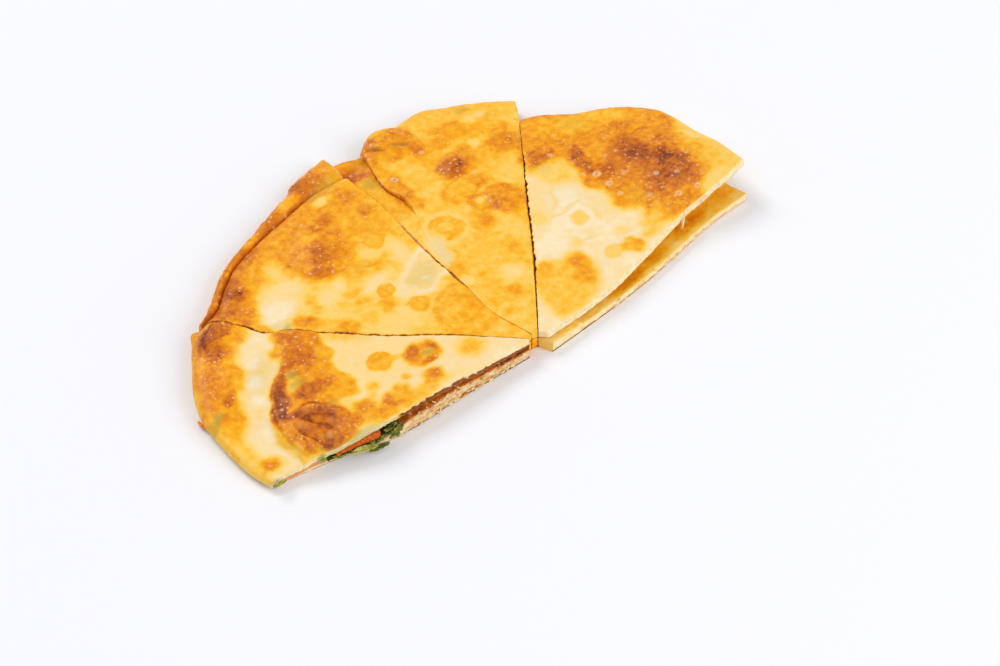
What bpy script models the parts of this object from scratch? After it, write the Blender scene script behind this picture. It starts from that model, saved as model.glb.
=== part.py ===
"""Scallion pancake: a filled flatbread cut in four slices that still lie as one half round.

Each slice is a top sheet of dough over a base sheet. The greens and the carrot strip of the
filling show at the front cut of slice 1, and slice 4 gapes at its right cut. Plan sizes are in
millimetres from the point where the four tips meet, with +Y through the middle of the fan.
"""

import math

import bmesh
import bpy
from mathutils import Vector, noise

MM = 0.001
FAN_CENTRE = (-5.0, -69.2)      # where the tips meet, from the middle of the footprint

CLEAR = 0.45                    # gap between pieces that touch
HALF_KERF = 0.4                 # half the width of a knife cut
RAGGED, RAGGED_LENGTH, RAGGED_SEED = 0.35, 3.3, 11.0  # unevenness of the cut faces
CELL = 6.0                      # spacing of the top sheets' grid
BASE_CELL = 8.0                 # spacing of the hidden base grid

TOP_HEIGHT = 8.0                # top of the bread over the table
RIPPLES = ((19.0, 0.55, 3.1), (8.0, 0.25, 7.7))  # width, height and seed of the uneven surface
SWELL_POWER = 1.5               # how softly a swell runs out at its edge
THIN_FRONT = 2.7                # fall of the crust towards the left end of the front cut
THIN_FRONT_X, THIN_FRONT_Y = (-86.0, -112.0), (24.0, 62.0)
SHEET_THICK = 2.7               # top sheet
THICK_FRONT = 0.9               # extra thickness at the front cut, between the filling and the tip
THICK_FRONT_X, THICK_FRONT_END, THICK_FRONT_Y = (-66.0, -58.0), (-20.0, -30.0), (30.0, 10.0)
FOLD_THIN = 1.0                 # the sheet is thinner beside the fold of slice 3
SHEET_SHARE = 0.45              # most of the height that a sheet may take
BASE_LEVEL = 4.8                # upper face of a base sheet where nothing presses it down
BASE_THIN = 1.3                 # thinnest part of a base sheet, and of a top sheet at its rim
BASE_SAG, BASE_SAG_Y = 1.0, (36.0, 8.0)  # fall of the base towards the open side of slice 4
BASE_RIPPLE = 0.25              # share of the ripples that the base has
BASE_FOLD_RISE = 1.1            # the base stands up beside the fold of slice 3
OPEN_SIDE_X = 20.0              # the sheets part to the right of this
CLOSED_SIDE_X = -20.0           # and meet to the left of this
RIM_ROUND = 5.0                 # width over which a rim rounds down
RIM_DROP = 0.34                 # share of the height lost at the rim
CRISP_HEIGHTS = (17.0, 9.0)     # a lifted rim stays crisp, without the rounding
RIM_ROWS = (0.0, 1.1, 2.2, 3.0, 6.0, 10.0)       # grid rows of a top sheet, inward from its rim
BASE_RIM_ROWS = (0.0, 2.0, 6.0)
LIP_INSET = 3.5                 # the base stops this far inside the lip of the top sheet
LIP_FOOT = 0.7                  # lower edge of the lip
LIP_WIDTH = 2.4
LIP_TUCK = 0.9                  # the lip's outer edge curls up by this
GAPE_HEIGHTS = (9.6, 12.0)      # where the crust is lifted this high, the lip opens
RIDGE_CREST = 7.4               # rolled rim of slice 2
RIDGE_FOOT = 2.6
RIDGE_TUCK = 1.6                # the ridge's outer edge curls up by this
RIDGE_ROWS = (1.01, 1.12, 1.28, 1.5, 1.72, 1.88, 2.0)  # outward shares; 1 is the top sheet's rim
GROOVE = 0.8                    # dark groove between the ridge and the top sheet
GROOVE_DEPTH = 1.2
CORNER = (123.0, 15.0)          # lifted corner of slice 4
CORNER_LIFT = 8.6
CORNER_REACH = 31.0
FILL_DEPTH = 5.8                # greens at the front cut of slice 1
FILL_MIDDLE = -80.0
FILL_HALF_WIDTH = 19.0
FILL_BACK, FILL_END = (12.0, 48.0), (48.0, 56.0)  # the filling thins out over these distances back
FILL_END_SHARE = 0.15
GREENS_LEFT, GREENS_RIGHT = -95.0, -66.0
GREENS_DEEP = 40.0              # how far back the greens run
GREENS_ROWS = (0.0, 0.06, 0.12, 0.2, 0.3, 0.42, 0.56, 0.7, 0.85, 1.0)
GREENS_THIN = 0.35
GREENS_FOOT = 0.9               # least height of the filling over the base's thinnest part
CARROT_FROM, CARROT_TO = -91.5, -75.8
CARROT_THIN, CARROT_THICK = 1.2, 3.1
CARROT_DEPTH = 3.8
SHRED_THICK = 0.5
SHRED_CELL = 1.35

# Knife cuts, from the tip to the rim.
CUT_FRONT = ((-4.6, 2.4), (-37, 3.4), (-64, 4.8), (-76, 5.4), (-90, 9), (-108, 13.4), (-117.4, 14.6))
CUT_FRONT_BASE = ((-4.6, 2.2), (-40, 3.9), (-56, 3.9), (-68, 4.8), (-76, 6.3), (-85, 9.4), (-95, 11.9),
                  (-117.4, 16.2))
CUT_1_2 = ((-3, 4.6), (-22, 24.5), (-40, 40.5), (-57, 58), (-66, 67.5), (-75, 73.5), (-79.5, 83), (-90.5, 92))
CUT_2_3 = ((-0.8, 5.2), (-3.6, 26), (-2, 45), (0, 70), (2, 85), (4, 100), (3.8, 122.5))
CUT_3_4 = ((1.8, 4.6), (18, 24), (31, 40), (52, 67), (71, 90), (80, 101), (88, 112.6))
CUT_4_3 = ((1.8, 4.6), (18, 24), (31, 40), (52, 67), (71, 90), (80, 101))
CUT_RIGHT = ((4.2, 1.8), (39, 3.2), (59, 6.8), (88, 12.6), (104, 13.2), (114, 13.4), (122.2, 14.8))
CUT_RIGHT_BASE = ((4.2, -1.4), (40, 0.2), (60, 2), (80, 5), (100, 7.9), (120.6, 8.8))
FOLD_3 = ((-0.8, 5.2), (-3.6, 26), (-1.6, 45), (1, 60), (5.5, 75), (10.5, 86), (12.6, 96), (11.4, 105),
          (12.4, 112), (15, 120), (18, 130))

# Rims, from the left cut of the slice to its right cut.
RIM_1 = ((-117.4, 14.6), (-119.2, 24), (-119.3, 34), (-118.6, 45), (-117.6, 53), (-115.6, 60), (-111, 69.4),
         (-104, 79.6), (-97.6, 88), (-90.5, 92))
RIM_2 = ((-90.5, 92), (-80, 96), (-70, 104), (-62, 109.6), (-50, 114), (-40, 117), (-30, 119), (-20, 121.6),
         (-10, 123.4), (3.8, 122.5))
RIDGE_2 = ((-90.5, 94), (-85.5, 97), (-76, 104.5), (-67.5, 111.4), (-55, 117.4), (-43, 122.4), (-31, 127.2),
           (-18.8, 131.8), (-15.6, 134.6), (-6.4, 137.4), (5, 139.4))
RIM_3 = ((18, 130), (25.5, 135), (30.2, 136.6), (34, 136), (38.5, 134.2), (53.6, 134.6), (62, 130.4),
         (70.7, 126.2), (80.8, 119.4), (88, 112.6))
RIM_3_BASE = ((4.6, 134), (11, 133.4), (17.6, 131), (27, 131.6), (38, 130.2), (52, 131), (61, 126.8),
              (69.6, 122.4), (79, 115.8), (85.4, 109.8))
RIM_4 = ((80, 101), (82.6, 101.6), (88, 99.3), (96.3, 93.5), (103.2, 88.6), (110.7, 84.5), (118.2, 79),
         (124.6, 72.1), (128.2, 65.7), (129.4, 56), (128.4, 43.4), (126.8, 31), (125.2, 20.5), (122.2, 14.8))
RIM_4_BASE = ((78, 98.2), (81.4, 97.8), (86.4, 95.8), (94, 90.4), (101, 85.4), (108.8, 81), (115.4, 76.4),
              (121.4, 70.2), (124.6, 63.8), (125.6, 56), (123.6, 44), (120.6, 30), (119, 18.5), (120.6, 8.8))

RIM_1_BASE = (CUT_FRONT_BASE[-1],) + RIM_1[1:]

# Swells of the bread: middle x and y, half length, half width, turn in degrees, height.
SWELLS = (
    (-84, 38, 38, 19, 66, 2.0),         # big blister of slice 1
    (-77, 6, 15, 24, 0, 3.0),           # its end over the filling
    (-48, 2, 34, 24, 0, 2.8),           # front of slice 1 towards the tip
    (-89, 85, 11, 8, 35, 2.6),          # crinkled blister at the rim of slice 1
    (-105, 60, 22, 9, 60, 0.9),         # browned rim band of slice 1
    (-109, 36, 26, 9, 92, -1.3),        # sunken pale band beside the big blister
    (-70, 98, 10, 8, 30, 1.1),          # dark blister of slice 2
    (-34, 93, 18, 12, 50, 1.2),         # brown patch of slice 2
    (-10, 36, 18, 14, 0, 0.8),          # golden dome near the tip of slice 2
    (-12, 58, 13, 9, 20, -0.8),         # thin translucent patch of slice 2
    (-60, 80, 14, 10, 0, -0.7),         # pale hollow of slice 2
    (29, 127, 13, 11, 0, 2.4),          # rim blister of slice 3
    (42, 98, 9, 8, 0, 1.2),             # brown blister of slice 3
    (43, 68, 14, 9, 80, 1.0),           # orange blister of slice 3
    (13, 71, 11, 11, 0, 0.6),           # golden disc of slice 3
    (60, 116, 16, 12, 0, 0.6),          # pale rim of slice 3
    (104, 52, 30, 20, 70, 0.9),         # browned cap of slice 4
    (80, 62, 12, 8, 60, 0.7),           # browned patch of slice 4
    (55, 45, 24, 16, 40, -0.6),         # pale hollow of slice 4
    (62, 8, 40, 14, 5, 1.6),            # right cut of slice 4
)
FOLD_REACH_Y, FOLD_REACH_X = (50.0, 72.0), (12.0, 4.0)  # the fold's influence on its slice
FOLD_SIDE = (-4.0, 0.0)
FOLD_DROP, FOLD_DROP_X, FOLD_DROP_Y = 2.6, (0.0, 4.0), (118.0, 127.0)  # fall of the base beside the fold's end
POCKET = (8.2, 123.5, 7.5, 7.5, 0, -2.4)  # brown pocket in the base of slice 3


def smooth(low, high, value):
    t = min(1.0, max(0.0, (value - low) / (high - low)))
    return t * t * (3.0 - 2.0 * t)


def dome(x, y, swell):
    """Height at x, y of one smooth elliptical swell."""
    cx, cy, half_length, half_width, turn, height = swell
    c, s = math.cos(math.radians(turn)), math.sin(math.radians(turn))
    along = ((x - cx) * c + (y - cy) * s) / half_length
    across = ((y - cy) * c - (x - cx) * s) / half_width
    return height * max(0.0, 1.0 - along * along - across * across) ** SWELL_POWER


def ripple(x, y):
    """Uneven surface of fried dough."""
    return sum(height * noise.noise(Vector((x / width, y / width, seed))) for width, height, seed in RIPPLES)


def through(points, t):
    """Point at fraction t of the smooth curve through the points."""
    knots = [0.0]
    for a, b in zip(points, points[1:]):
        knots.append(knots[-1] + math.dist(a, b))
    at = min(max(t, 0.0), 1.0) * knots[-1]
    i = max(k for k in range(len(points) - 1) if knots[k] <= at)
    span = knots[i + 1] - knots[i]
    s = (at - knots[i]) / span

    def slope(k, axis):
        low, high = max(k - 1, 0), min(k + 1, len(points) - 1)
        return (points[high][axis] - points[low][axis]) / (knots[high] - knots[low])

    return tuple(
        (2 * s ** 3 - 3 * s ** 2 + 1) * points[i][axis] + (s ** 3 - 2 * s ** 2 + s) * span * slope(i, axis)
        + (3 * s ** 2 - 2 * s ** 3) * points[i + 1][axis] + (s ** 3 - s ** 2) * span * slope(i + 1, axis)
        for axis in (0, 1))


def level_at(points, x):
    """y of a cut that runs along X, at x."""
    ordered = sorted(points)
    x = min(max(x, ordered[0][0]), ordered[-1][0])
    for (x0, y0), (x1, y1) in zip(ordered, ordered[1:]):
        if x <= x1:
            return y0 + (y1 - y0) * (x - x0) / (x1 - x0)
    return ordered[-1][1]


def crust(x, y):
    """Height of the bread's upper surface, away from its rims."""
    height = TOP_HEIGHT + ripple(x, y) + sum(dome(x, y, swell) for swell in SWELLS)
    height += CORNER_LIFT * math.exp(-(math.dist((x, y), CORNER) / CORNER_REACH) ** 2)
    return height - THIN_FRONT * smooth(*THIN_FRONT_X, x) * (1.0 - smooth(*THIN_FRONT_Y, y))


def fold_share(x, y):
    """1 beside the folded edge of slice 3, falling to 0 away from it."""
    fold_x = through(FOLD_3, (y - FOLD_3[0][1]) / (FOLD_3[-1][1] - FOLD_3[0][1]))[0]
    return smooth(*FOLD_REACH_Y, y) * smooth(*FOLD_REACH_X, x - fold_x) * smooth(*FOLD_SIDE, x)


def sheet_thickness(x, y):
    front = smooth(*THICK_FRONT_X, x) * smooth(*THICK_FRONT_END, x) * smooth(*THICK_FRONT_Y, y)
    thick = SHEET_THICK + THICK_FRONT * front - FOLD_THIN * fold_share(x, y)
    return min(thick, SHEET_SHARE * crust(x, y))


def ceiling(x, y):
    """Underside of the top sheets."""
    return crust(x, y) - sheet_thickness(x, y)


def fill_depth(x, y):
    """Room that the filling takes between the sheets of slice 1."""
    across = max(0.0, 1.0 - ((x - FILL_MIDDLE) / FILL_HALF_WIDTH) ** 2)
    back = 1.0 - (1.0 - FILL_END_SHARE) * smooth(*FILL_BACK, y) - FILL_END_SHARE * smooth(*FILL_END, y)
    room = ceiling(x, y) - 2.0 * CLEAR - BASE_THIN - GREENS_FOOT
    return max(0.0, min(FILL_DEPTH * across * back, room))


def base_face(x, y):
    """Upper face of the base sheets, kept under the lowest point above each cell of its grid."""
    near = CELL / 2.0
    return min(base_point(x + dx, y + dy) for dx, dy in ((0, 0), (near, 0), (-near, 0), (0, near), (0, -near)))


def base_point(x, y):
    """Upper face of the base sheets at one point."""
    level = BASE_LEVEL + BASE_RIPPLE * ripple(x, y) + BASE_FOLD_RISE * fold_share(x, y) + dome(x, y, POCKET)
    level -= FOLD_DROP * smooth(*FOLD_DROP_Y, y) * smooth(*FOLD_DROP_X, x)
    if x > OPEN_SIDE_X:
        level -= BASE_SAG * smooth(*BASE_SAG_Y, y - level_at(CUT_RIGHT_BASE, x))
    if x < CLOSED_SIDE_X:
        level = ceiling(x, y)
    depth = fill_depth(x, y)
    pressed = ceiling(x, y) - CLEAR - (depth + CLEAR if depth > 0.0 else 0.0)
    return max(BASE_THIN, min(level, pressed))


def rim_drop(height, inward):
    """How far a rounded rim lies under the surface, at a distance inward from the edge."""
    t = max(0.0, 1.0 - inward / RIM_ROUND)
    return RIM_DROP * min(height, TOP_HEIGHT) * (1.0 - math.sqrt(1.0 - t * t)) * smooth(*CRISP_HEIGHTS, height)


class Wedge:
    """Plan of one sheet: two cuts and a rim, read as a grid of across and outward shares."""

    def __init__(self, left, right, rim, inset=0.0):
        self.left, self.right, self.rim = left, right, rim
        self.radius = math.dist(through(rim, 0.5), left[0])
        self.reach = 1.0 - inset / self.radius

    def at(self, across, outward):
        outward *= self.reach
        a, b = through(self.left, outward), through(self.right, outward)
        a1, b1 = self.left[-1], self.right[-1]
        r = through(self.rim, across)
        width = math.dist(a, b)
        torn = RAGGED * noise.noise(Vector((a[0] / RAGGED_LENGTH, a[1] / RAGGED_LENGTH, RAGGED_SEED + across)))
        kerf = (HALF_KERF + torn) * (1.0 - 2.0 * across) / width
        return tuple(
            (1.0 - across) * a[k] + across * b[k]
            + outward * (r[k] - (1.0 - across) * a1[k] - across * b1[k]) + kerf * (b[k] - a[k])
            for k in (0, 1))

    def rows(self, cell, rim_rows):
        """Outward shares of the grid rows, closer together at the rim."""
        inner = 1.0 - rim_rows[-1] / self.radius
        count = round(inner * self.radius / cell)
        return [inner * k / count for k in range(count)] + [1.0 - d / self.radius for d in reversed(rim_rows)]

    def columns(self, cell):
        length = sum(math.dist(a, b) for a, b in zip(self.rim, self.rim[1:]))
        return round(length / cell)


def dough(name, colour, roughness):
    """Plain dough, filling or leaf material."""
    material = bpy.data.materials.new(name)
    material.use_nodes = True
    shader = material.node_tree.nodes["Principled BSDF"]
    shader.inputs["Base Color"].default_value = (*colour, 1.0)
    shader.inputs["Roughness"].default_value = roughness
    shader.inputs["Metallic"].default_value = 0.0
    return material


def finish(name, bm, material, collection):
    """Turns a bmesh in fan millimetres into a placed object."""
    bmesh.ops.recalc_face_normals(bm, faces=bm.faces)
    for vert in bm.verts:
        x, y, z = vert.co
        vert.co = Vector((x + FAN_CENTRE[0], y + FAN_CENTRE[1], z)) * MM
    mesh = bpy.data.meshes.new(name)
    bm.to_mesh(mesh)
    bm.free()
    mesh.materials.append(material)
    mesh.shade_smooth()
    mesh.set_sharp_from_angle(angle=math.radians(50))
    item = bpy.data.objects.new(name, mesh)
    collection.objects.link(item)
    return item


def slab(columns, rows, place, upper, lower, flat_foot=False):
    """A sheet with a shaped upper and lower face, from one grid pulled down into a solid."""
    bm = bmesh.new()
    share = bm.verts.layers.float.new("outward")
    bmesh.ops.create_grid(bm, x_segments=columns, y_segments=len(rows) - 1, size=0.5)
    for vert in bm.verts:
        across = vert.co.x + 0.5
        vert[share] = rows[round((vert.co.y + 0.5) * (len(rows) - 1))]
        x, y = place(across, vert[share])
        vert.co = (x, y, upper(x, y, vert[share]))
    pulled = bmesh.ops.extrude_face_region(bm, geom=bm.faces[:])["geom"]
    under = {item for item in pulled if isinstance(item, bmesh.types.BMVert)}
    for vert in under:
        vert.co.z = lower(vert.co.x, vert.co.y, vert[share])
    if flat_foot:
        edges = [edge for edge in bm.edges if edge.verts[0] in under and edge.verts[1] in under]
        bmesh.ops.dissolve_limit(bm, angle_limit=0.0005, verts=list(under), edges=edges)
    return bm


def top_sheet(name, wedge, lipped, material, collection):
    """Top sheet of a slice. A lip closes it down over the base's edge, except where it gapes."""
    def upper(x, y, outward):
        height = crust(x, y)
        return height - rim_drop(height, (1.0 - outward) * wedge.radius)

    def lower(x, y, outward):
        inward = (1.0 - outward) * wedge.radius
        under = min(ceiling(x, y), upper(x, y, outward) - BASE_THIN)
        if not lipped or inward > LIP_WIDTH:
            return under
        foot = LIP_FOOT + LIP_TUCK * max(0.0, 1.0 - inward)
        gapes = max(smooth(*GAPE_HEIGHTS, crust(x, y)), fold_share(x, y))
        return foot + (under - foot) * gapes

    bm = slab(wedge.columns(CELL), wedge.rows(CELL, RIM_ROWS), wedge.at, upper, lower)
    return finish(name, bm, material, collection)


def base_sheet(name, wedge, material, collection, cell=BASE_CELL):
    """Base sheet of a slice, flat underneath."""
    bm = slab(wedge.columns(cell), wedge.rows(cell, BASE_RIM_ROWS), wedge.at,
              lambda x, y, outward: base_face(x, y), lambda x, y, outward: 0.0, flat_foot=True)
    return finish(name, bm, material, collection)


def rolled_base(name, wedge, ridge, material, collection):
    """Base sheet that rolls up in a ridge, outside a groove along the top sheet's rim."""
    def place(across, outward):
        x, y = wedge.at(across, min(outward, 1.0))
        if outward <= 1.0:
            return x, y
        outer = through(ridge, across)
        start = GROOVE / math.dist(outer, (x, y))
        share = start + (1.0 - start) * (outward - RIDGE_ROWS[0]) / (RIDGE_ROWS[-1] - RIDGE_ROWS[0])
        return x + (outer[0] - x) * share, y + (outer[1] - y) * share

    def upper(x, y, outward):
        if outward <= RIDGE_ROWS[0]:
            return base_face(x, y) - GROOVE_DEPTH * smooth(0.95, 1.0, outward)
        share = 2.0 * (outward - 1.0) - 1.0
        return RIDGE_FOOT + (RIDGE_CREST - RIDGE_FOOT) * math.sqrt(max(0.0, 1.0 - share ** 2)) + ripple(x, y)

    def lower(x, y, outward):
        return RIDGE_TUCK * smooth(1.8, 2.0, outward)

    rows = wedge.rows(BASE_CELL, BASE_RIM_ROWS) + list(RIDGE_ROWS)
    bm = slab(wedge.columns(CELL), rows, place, upper, lower, flat_foot=True)
    return finish(name, bm, material, collection)


def front_place(left, right, deep):
    """Plan of a piece of filling: across runs along the front cut, outward runs back from it."""

    def place(across, outward):
        x = left + (right - left) * across
        return x, level_at(CUT_FRONT, x) + 0.5 + deep(x) * outward

    return place


def carrot_height(x):
    return CARROT_THIN + (CARROT_THICK - CARROT_THIN) * smooth(CARROT_FROM, CARROT_TO, x)


def carrot_strip(material, collection):
    """Wedge of carrot that lies on the greens, close under the top sheet."""
    def upper(x, y, outward):
        return ceiling(x, y) - CLEAR - 0.1

    def lower(x, y, outward):
        return upper(x, y, outward) - carrot_height(x)

    place = front_place(CARROT_FROM, CARROT_TO, lambda x: CARROT_DEPTH)
    return finish("carrot_strip", slab(9, (0.0, 0.5, 1.0), place, upper, lower), material, collection)


def greens_layer(material, collection):
    """Chopped greens that run back through slice 1 between its sheets."""
    half = (GREENS_RIGHT - GREENS_LEFT) / 2.0 + 1.0

    def deep(x):
        return GREENS_DEEP * math.sqrt(max(0.12, 1.0 - ((x - FILL_MIDDLE) / half) ** 2))

    def carrot_room(x, y):
        near = smooth(CARROT_DEPTH + 4.2, CARROT_DEPTH + 1.1, y - level_at(CUT_FRONT, x))
        beside = smooth(CARROT_TO + 4.8, CARROT_TO + 0.8, x) * smooth(CARROT_FROM - 3.5, CARROT_FROM - 1.0, x)
        return (carrot_height(x) + CLEAR) * near * beside

    def lower(x, y, outward):
        return base_face(x, y) + CLEAR + 0.2

    def upper(x, y, outward):
        top = ceiling(x, y) - CLEAR - carrot_room(x, y)
        return max(top, lower(x, y, outward) + GREENS_THIN)

    bm = slab(13, GREENS_ROWS, front_place(GREENS_LEFT, GREENS_RIGHT, deep), upper, lower)
    return finish("greens_layer", bm, material, collection)


def shred(name, middle, size, turns, wave, material, collection):
    """A thin wavy shred of leaf or crust, as a grid with a thickness."""
    length, width = size
    bm = bmesh.new()
    along, across = max(4, round(length / SHRED_CELL)), max(2, round(width / SHRED_CELL))
    bmesh.ops.create_grid(bm, x_segments=along, y_segments=across, size=0.5)
    for vert in bm.verts:
        s, t = vert.co.x * 2.0, vert.co.y * 2.0
        taper = math.sqrt(max(0.12, 1.0 - abs(s) ** 2.4))
        lift = wave * (math.sin(5.2 * s) * (0.4 + 0.6 * t) + 0.6 * math.sin(3.0 * t + s))
        vert.co = (0.5 * length * s, 0.5 * width * t * taper, lift)
    bmesh.ops.triangulate(bm, faces=bm.faces[:])
    mesh = bpy.data.meshes.new(name)
    bmesh.ops.scale(bm, vec=(MM, MM, MM), verts=bm.verts)
    bm.to_mesh(mesh)
    bm.free()
    mesh.materials.append(material)
    mesh.shade_smooth()
    item = bpy.data.objects.new(name, mesh)
    item.location = Vector((middle[0] + FAN_CENTRE[0], middle[1] + FAN_CENTRE[1], middle[2])) * MM
    item.rotation_euler = [math.radians(a) for a in turns]
    skin = item.modifiers.new("Thickness", "SOLIDIFY")
    skin.thickness = SHRED_THICK * MM
    skin.offset = 0.0
    collection.objects.link(item)
    return item


def clear_scene():
    for item in list(bpy.data.objects):
        bpy.data.objects.remove(item, do_unlink=True)


def build():
    clear_scene()
    collection = bpy.data.collections.new("Scallion pancake")
    bpy.context.scene.collection.children.link(collection)
    fried = dough("Fried dough, top", (0.93, 0.58, 0.18), 0.45)
    plain = dough("Fried dough, base", (0.86, 0.5, 0.16), 0.5)
    green = dough("Scallion green", (0.12, 0.24, 0.03), 0.5)
    orange = dough("Carrot", (0.72, 0.2, 0.03), 0.45)

    top_sheet("slice_1_top", Wedge(CUT_FRONT, CUT_1_2, RIM_1), True, fried, collection)
    top_sheet("slice_2_top", Wedge(CUT_1_2, CUT_2_3, RIM_2), False, fried, collection)
    top_sheet("slice_3_top", Wedge(FOLD_3, CUT_3_4, RIM_3), True, fried, collection)
    top_sheet("slice_4_top", Wedge(CUT_4_3, CUT_RIGHT, RIM_4), True, fried, collection)

    rolled_base("slice_2_base", Wedge(CUT_1_2, CUT_2_3, RIM_2), RIDGE_2, plain, collection)
    wedge_1 = Wedge(CUT_FRONT_BASE, CUT_1_2, RIM_1_BASE, LIP_INSET)
    base_sheet("slice_1_base", wedge_1, plain, collection, cell=CELL)
    wedge_3 = Wedge(trim(CUT_2_3, RIM_3_BASE[0]), trim(CUT_3_4, RIM_3_BASE[-1]), RIM_3_BASE)
    base_sheet("slice_3_base", wedge_3, plain, collection)
    wedge_4 = Wedge(trim(CUT_4_3, RIM_4_BASE[0]), CUT_RIGHT_BASE, RIM_4_BASE)
    base_sheet("slice_4_base", wedge_4, plain, collection)

    carrot_strip(orange, collection)
    greens_layer(green, collection)
    shred("leaf_1", (-79.6, 4.9, 3.9), (13, 4.0), (68, 0, -16), 0.35, green, collection)
    shred("leaf_2", (-78.4, 3.5, 1.2), (9, 2.4), (20, 0, -16), 0.2, green, collection)
    shred("leaf_3", (-68.8, 3.0, 5.3), (8, 4.4), (72, 4, 3), 0.4, green, collection)
    shred("green_bit_1", (-113.8, 12.7, 3.7), (5, 2.0), (70, 0, -7), 0.15, green, collection)
    shred("green_bit_2", (-97.4, 9.9, 5.4), (3, 1.8), (66, 0, -14), 0.12, green, collection)
    shred("crust_flake_1", (-118.1, 56.0, 1.2), (5.6, 1.2), (0, 6, 86), 0.12, plain, collection)
    shred("crust_flake_2", (86.4, 11.2, 8.2), (6.4, 1.5), (0, 70, 80), 0.15, plain, collection)


def trim(cut, end):
    """The cut, stopped at the end of an inset rim."""
    return cut[:-1] + (end,)


build()
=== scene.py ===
# %% [markdown]
# # A pan-fried scallion pancake
#
# The real thing is a round of thin wheat dough, folded over a filling of chopped greens and carrot, fried
# in oil until it blisters, and cut with a knife. What the eye reads first is the browning: cream where
# the dough never touched the pan, gold where it almost did, and orange to dark brown on the blisters that
# pressed against it. The solids give the true shape, so this file puts a fine skin round them, paints the
# browning on, and lights it.

# %% Load the frame
import math
from collections import namedtuple

import bpy
import numpy as np
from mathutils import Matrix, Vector, noise


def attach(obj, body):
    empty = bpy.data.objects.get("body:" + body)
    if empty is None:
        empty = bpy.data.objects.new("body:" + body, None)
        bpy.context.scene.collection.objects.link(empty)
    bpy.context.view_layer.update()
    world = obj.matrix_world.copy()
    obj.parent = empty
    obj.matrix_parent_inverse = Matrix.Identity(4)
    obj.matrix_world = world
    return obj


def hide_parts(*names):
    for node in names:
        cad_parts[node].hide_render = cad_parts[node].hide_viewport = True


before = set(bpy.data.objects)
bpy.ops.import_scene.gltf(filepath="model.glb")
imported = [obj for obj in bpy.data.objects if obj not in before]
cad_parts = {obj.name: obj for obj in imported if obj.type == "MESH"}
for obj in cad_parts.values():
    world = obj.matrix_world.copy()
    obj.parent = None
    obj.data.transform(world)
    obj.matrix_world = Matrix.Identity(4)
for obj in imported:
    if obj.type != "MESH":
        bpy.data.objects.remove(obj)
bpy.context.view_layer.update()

MM = 0.001

# %% [markdown]
# ## Sizes
#
# Plan sizes are in millimetres from the point where the four tips meet, with +Y through the middle of the
# fan. Most are the same named values that the solids are made from, because a skin has to follow what it
# covers. A few points of the rims and corners are moved a little from theirs, to where the real bread's
# edges lie.

# %% Sizes that the skin shares with the solids
FAN_CENTRE = (-5.0, -69.2)      # where the tips meet, from the middle of the footprint
TOP_HEIGHT = 8.0
RIPPLES = ((19.0, 0.55, 3.1), (8.0, 0.25, 7.7))  # width, height and seed of the uneven surface
THIN_FRONT, THIN_FRONT_X, THIN_FRONT_Y = 2.7, (-86.0, -112.0), (24.0, 62.0)
SHEET_THICK = 2.7
THICK_FRONT, THICK_FRONT_X = 0.9, (-66.0, -58.0)
THICK_FRONT_END, THICK_FRONT_Y = (-20.0, -30.0), (30.0, 10.0)
FOLD_THIN, SHEET_SHARE = 1.0, 0.45
BASE_LEVEL, BASE_THIN, BASE_RIPPLE = 4.8, 1.3, 0.25
BASE_SAG, BASE_SAG_Y = 1.0, (36.0, 8.0)
BASE_FOLD_RISE = 1.1
OPEN_SIDE_X, CLOSED_SIDE_X = 20.0, -20.0
RIM_ROUND, RIM_DROP, CRISP_HEIGHTS = 5.0, 0.34, (17.0, 9.0)
LIP_INSET, LIP_FOOT, LIP_WIDTH, LIP_TUCK = 3.5, 0.7, 2.4, 0.9
GAPE_HEIGHTS = (9.6, 12.0)
RIDGE_CREST, RIDGE_FOOT, RIDGE_TUCK, GROOVE = 7.4, 2.6, 1.6, 0.5
CORNER, CORNER_LIFT, CORNER_REACH = (123.0, 15.0), 8.6, 31.0
FILL_DEPTH, FILL_MIDDLE, FILL_HALF_WIDTH, FILL_LEAVES = 5.8, -80.0, 19.0, 3.1
FILL_BACK, FILL_BACK_Y, FILL_END, FILL_END_Y = 0.85, (12.0, 48.0), 0.15, (48.0, 56.0)  # thins to nothing
FOLD_REACH_Y, FOLD_REACH_X, FOLD_SIDE = (50.0, 72.0), (12.0, 4.0), (-4.0, 0.0)
FOLD_DROP, FOLD_DROP_X, FOLD_DROP_Y = 2.6, (0.0, 4.0), (118.0, 127.0)
SEAM = 0.12                     # the skins lie closer together than the solids

# Knife cuts, from the tip to the rim.
CUT_FRONT = ((-4.6, 2.4), (-37, 3.4), (-64, 4.8), (-76, 5.4), (-90, 9), (-108, 13.4), (-117.4, 14.6))
CUT_FRONT_BASE = (
    (-4.6, 2.2), (-40, 3.9), (-56, 3.9), (-68, 4.8), (-76, 6.3), (-85, 9.4), (-95, 11.9), (-117.4, 16.2),
)
CUT_1_2 = (
    (-3, 4.6), (-22, 24.5), (-40, 40.5), (-57, 58), (-66, 67.5), (-75, 73.5), (-79.5, 83), (-90.5, 92),
)
CUT_2_3 = ((-0.8, 5.2), (-3.6, 26), (-2, 45), (0, 70), (2, 85), (4, 100), (3.8, 122.5))
CUT_3_4 = ((1.8, 4.6), (18, 24), (31, 40), (52, 67), (71, 90), (80, 101), (88, 112.6))
CUT_4_3 = CUT_3_4[:-1]
CUT_RIGHT = ((4.2, 1.8), (39, 3.2), (59, 6.8), (88, 12.6), (104, 13.2), (114, 13.4), (123.5, 14.8))
CUT_RIGHT_BASE = ((4.2, -1.4), (40, 0.2), (60, 2), (80, 5), (100, 7.9), (120.6, 8.8))
FOLD_3 = (
    (-0.8, 5.2), (-3.6, 26), (-1.6, 45), (1, 60), (5.5, 75), (10.5, 86), (12.6, 96), (11.4, 105),
    (12.4, 112), (15, 120), (18, 130),
)

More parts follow.
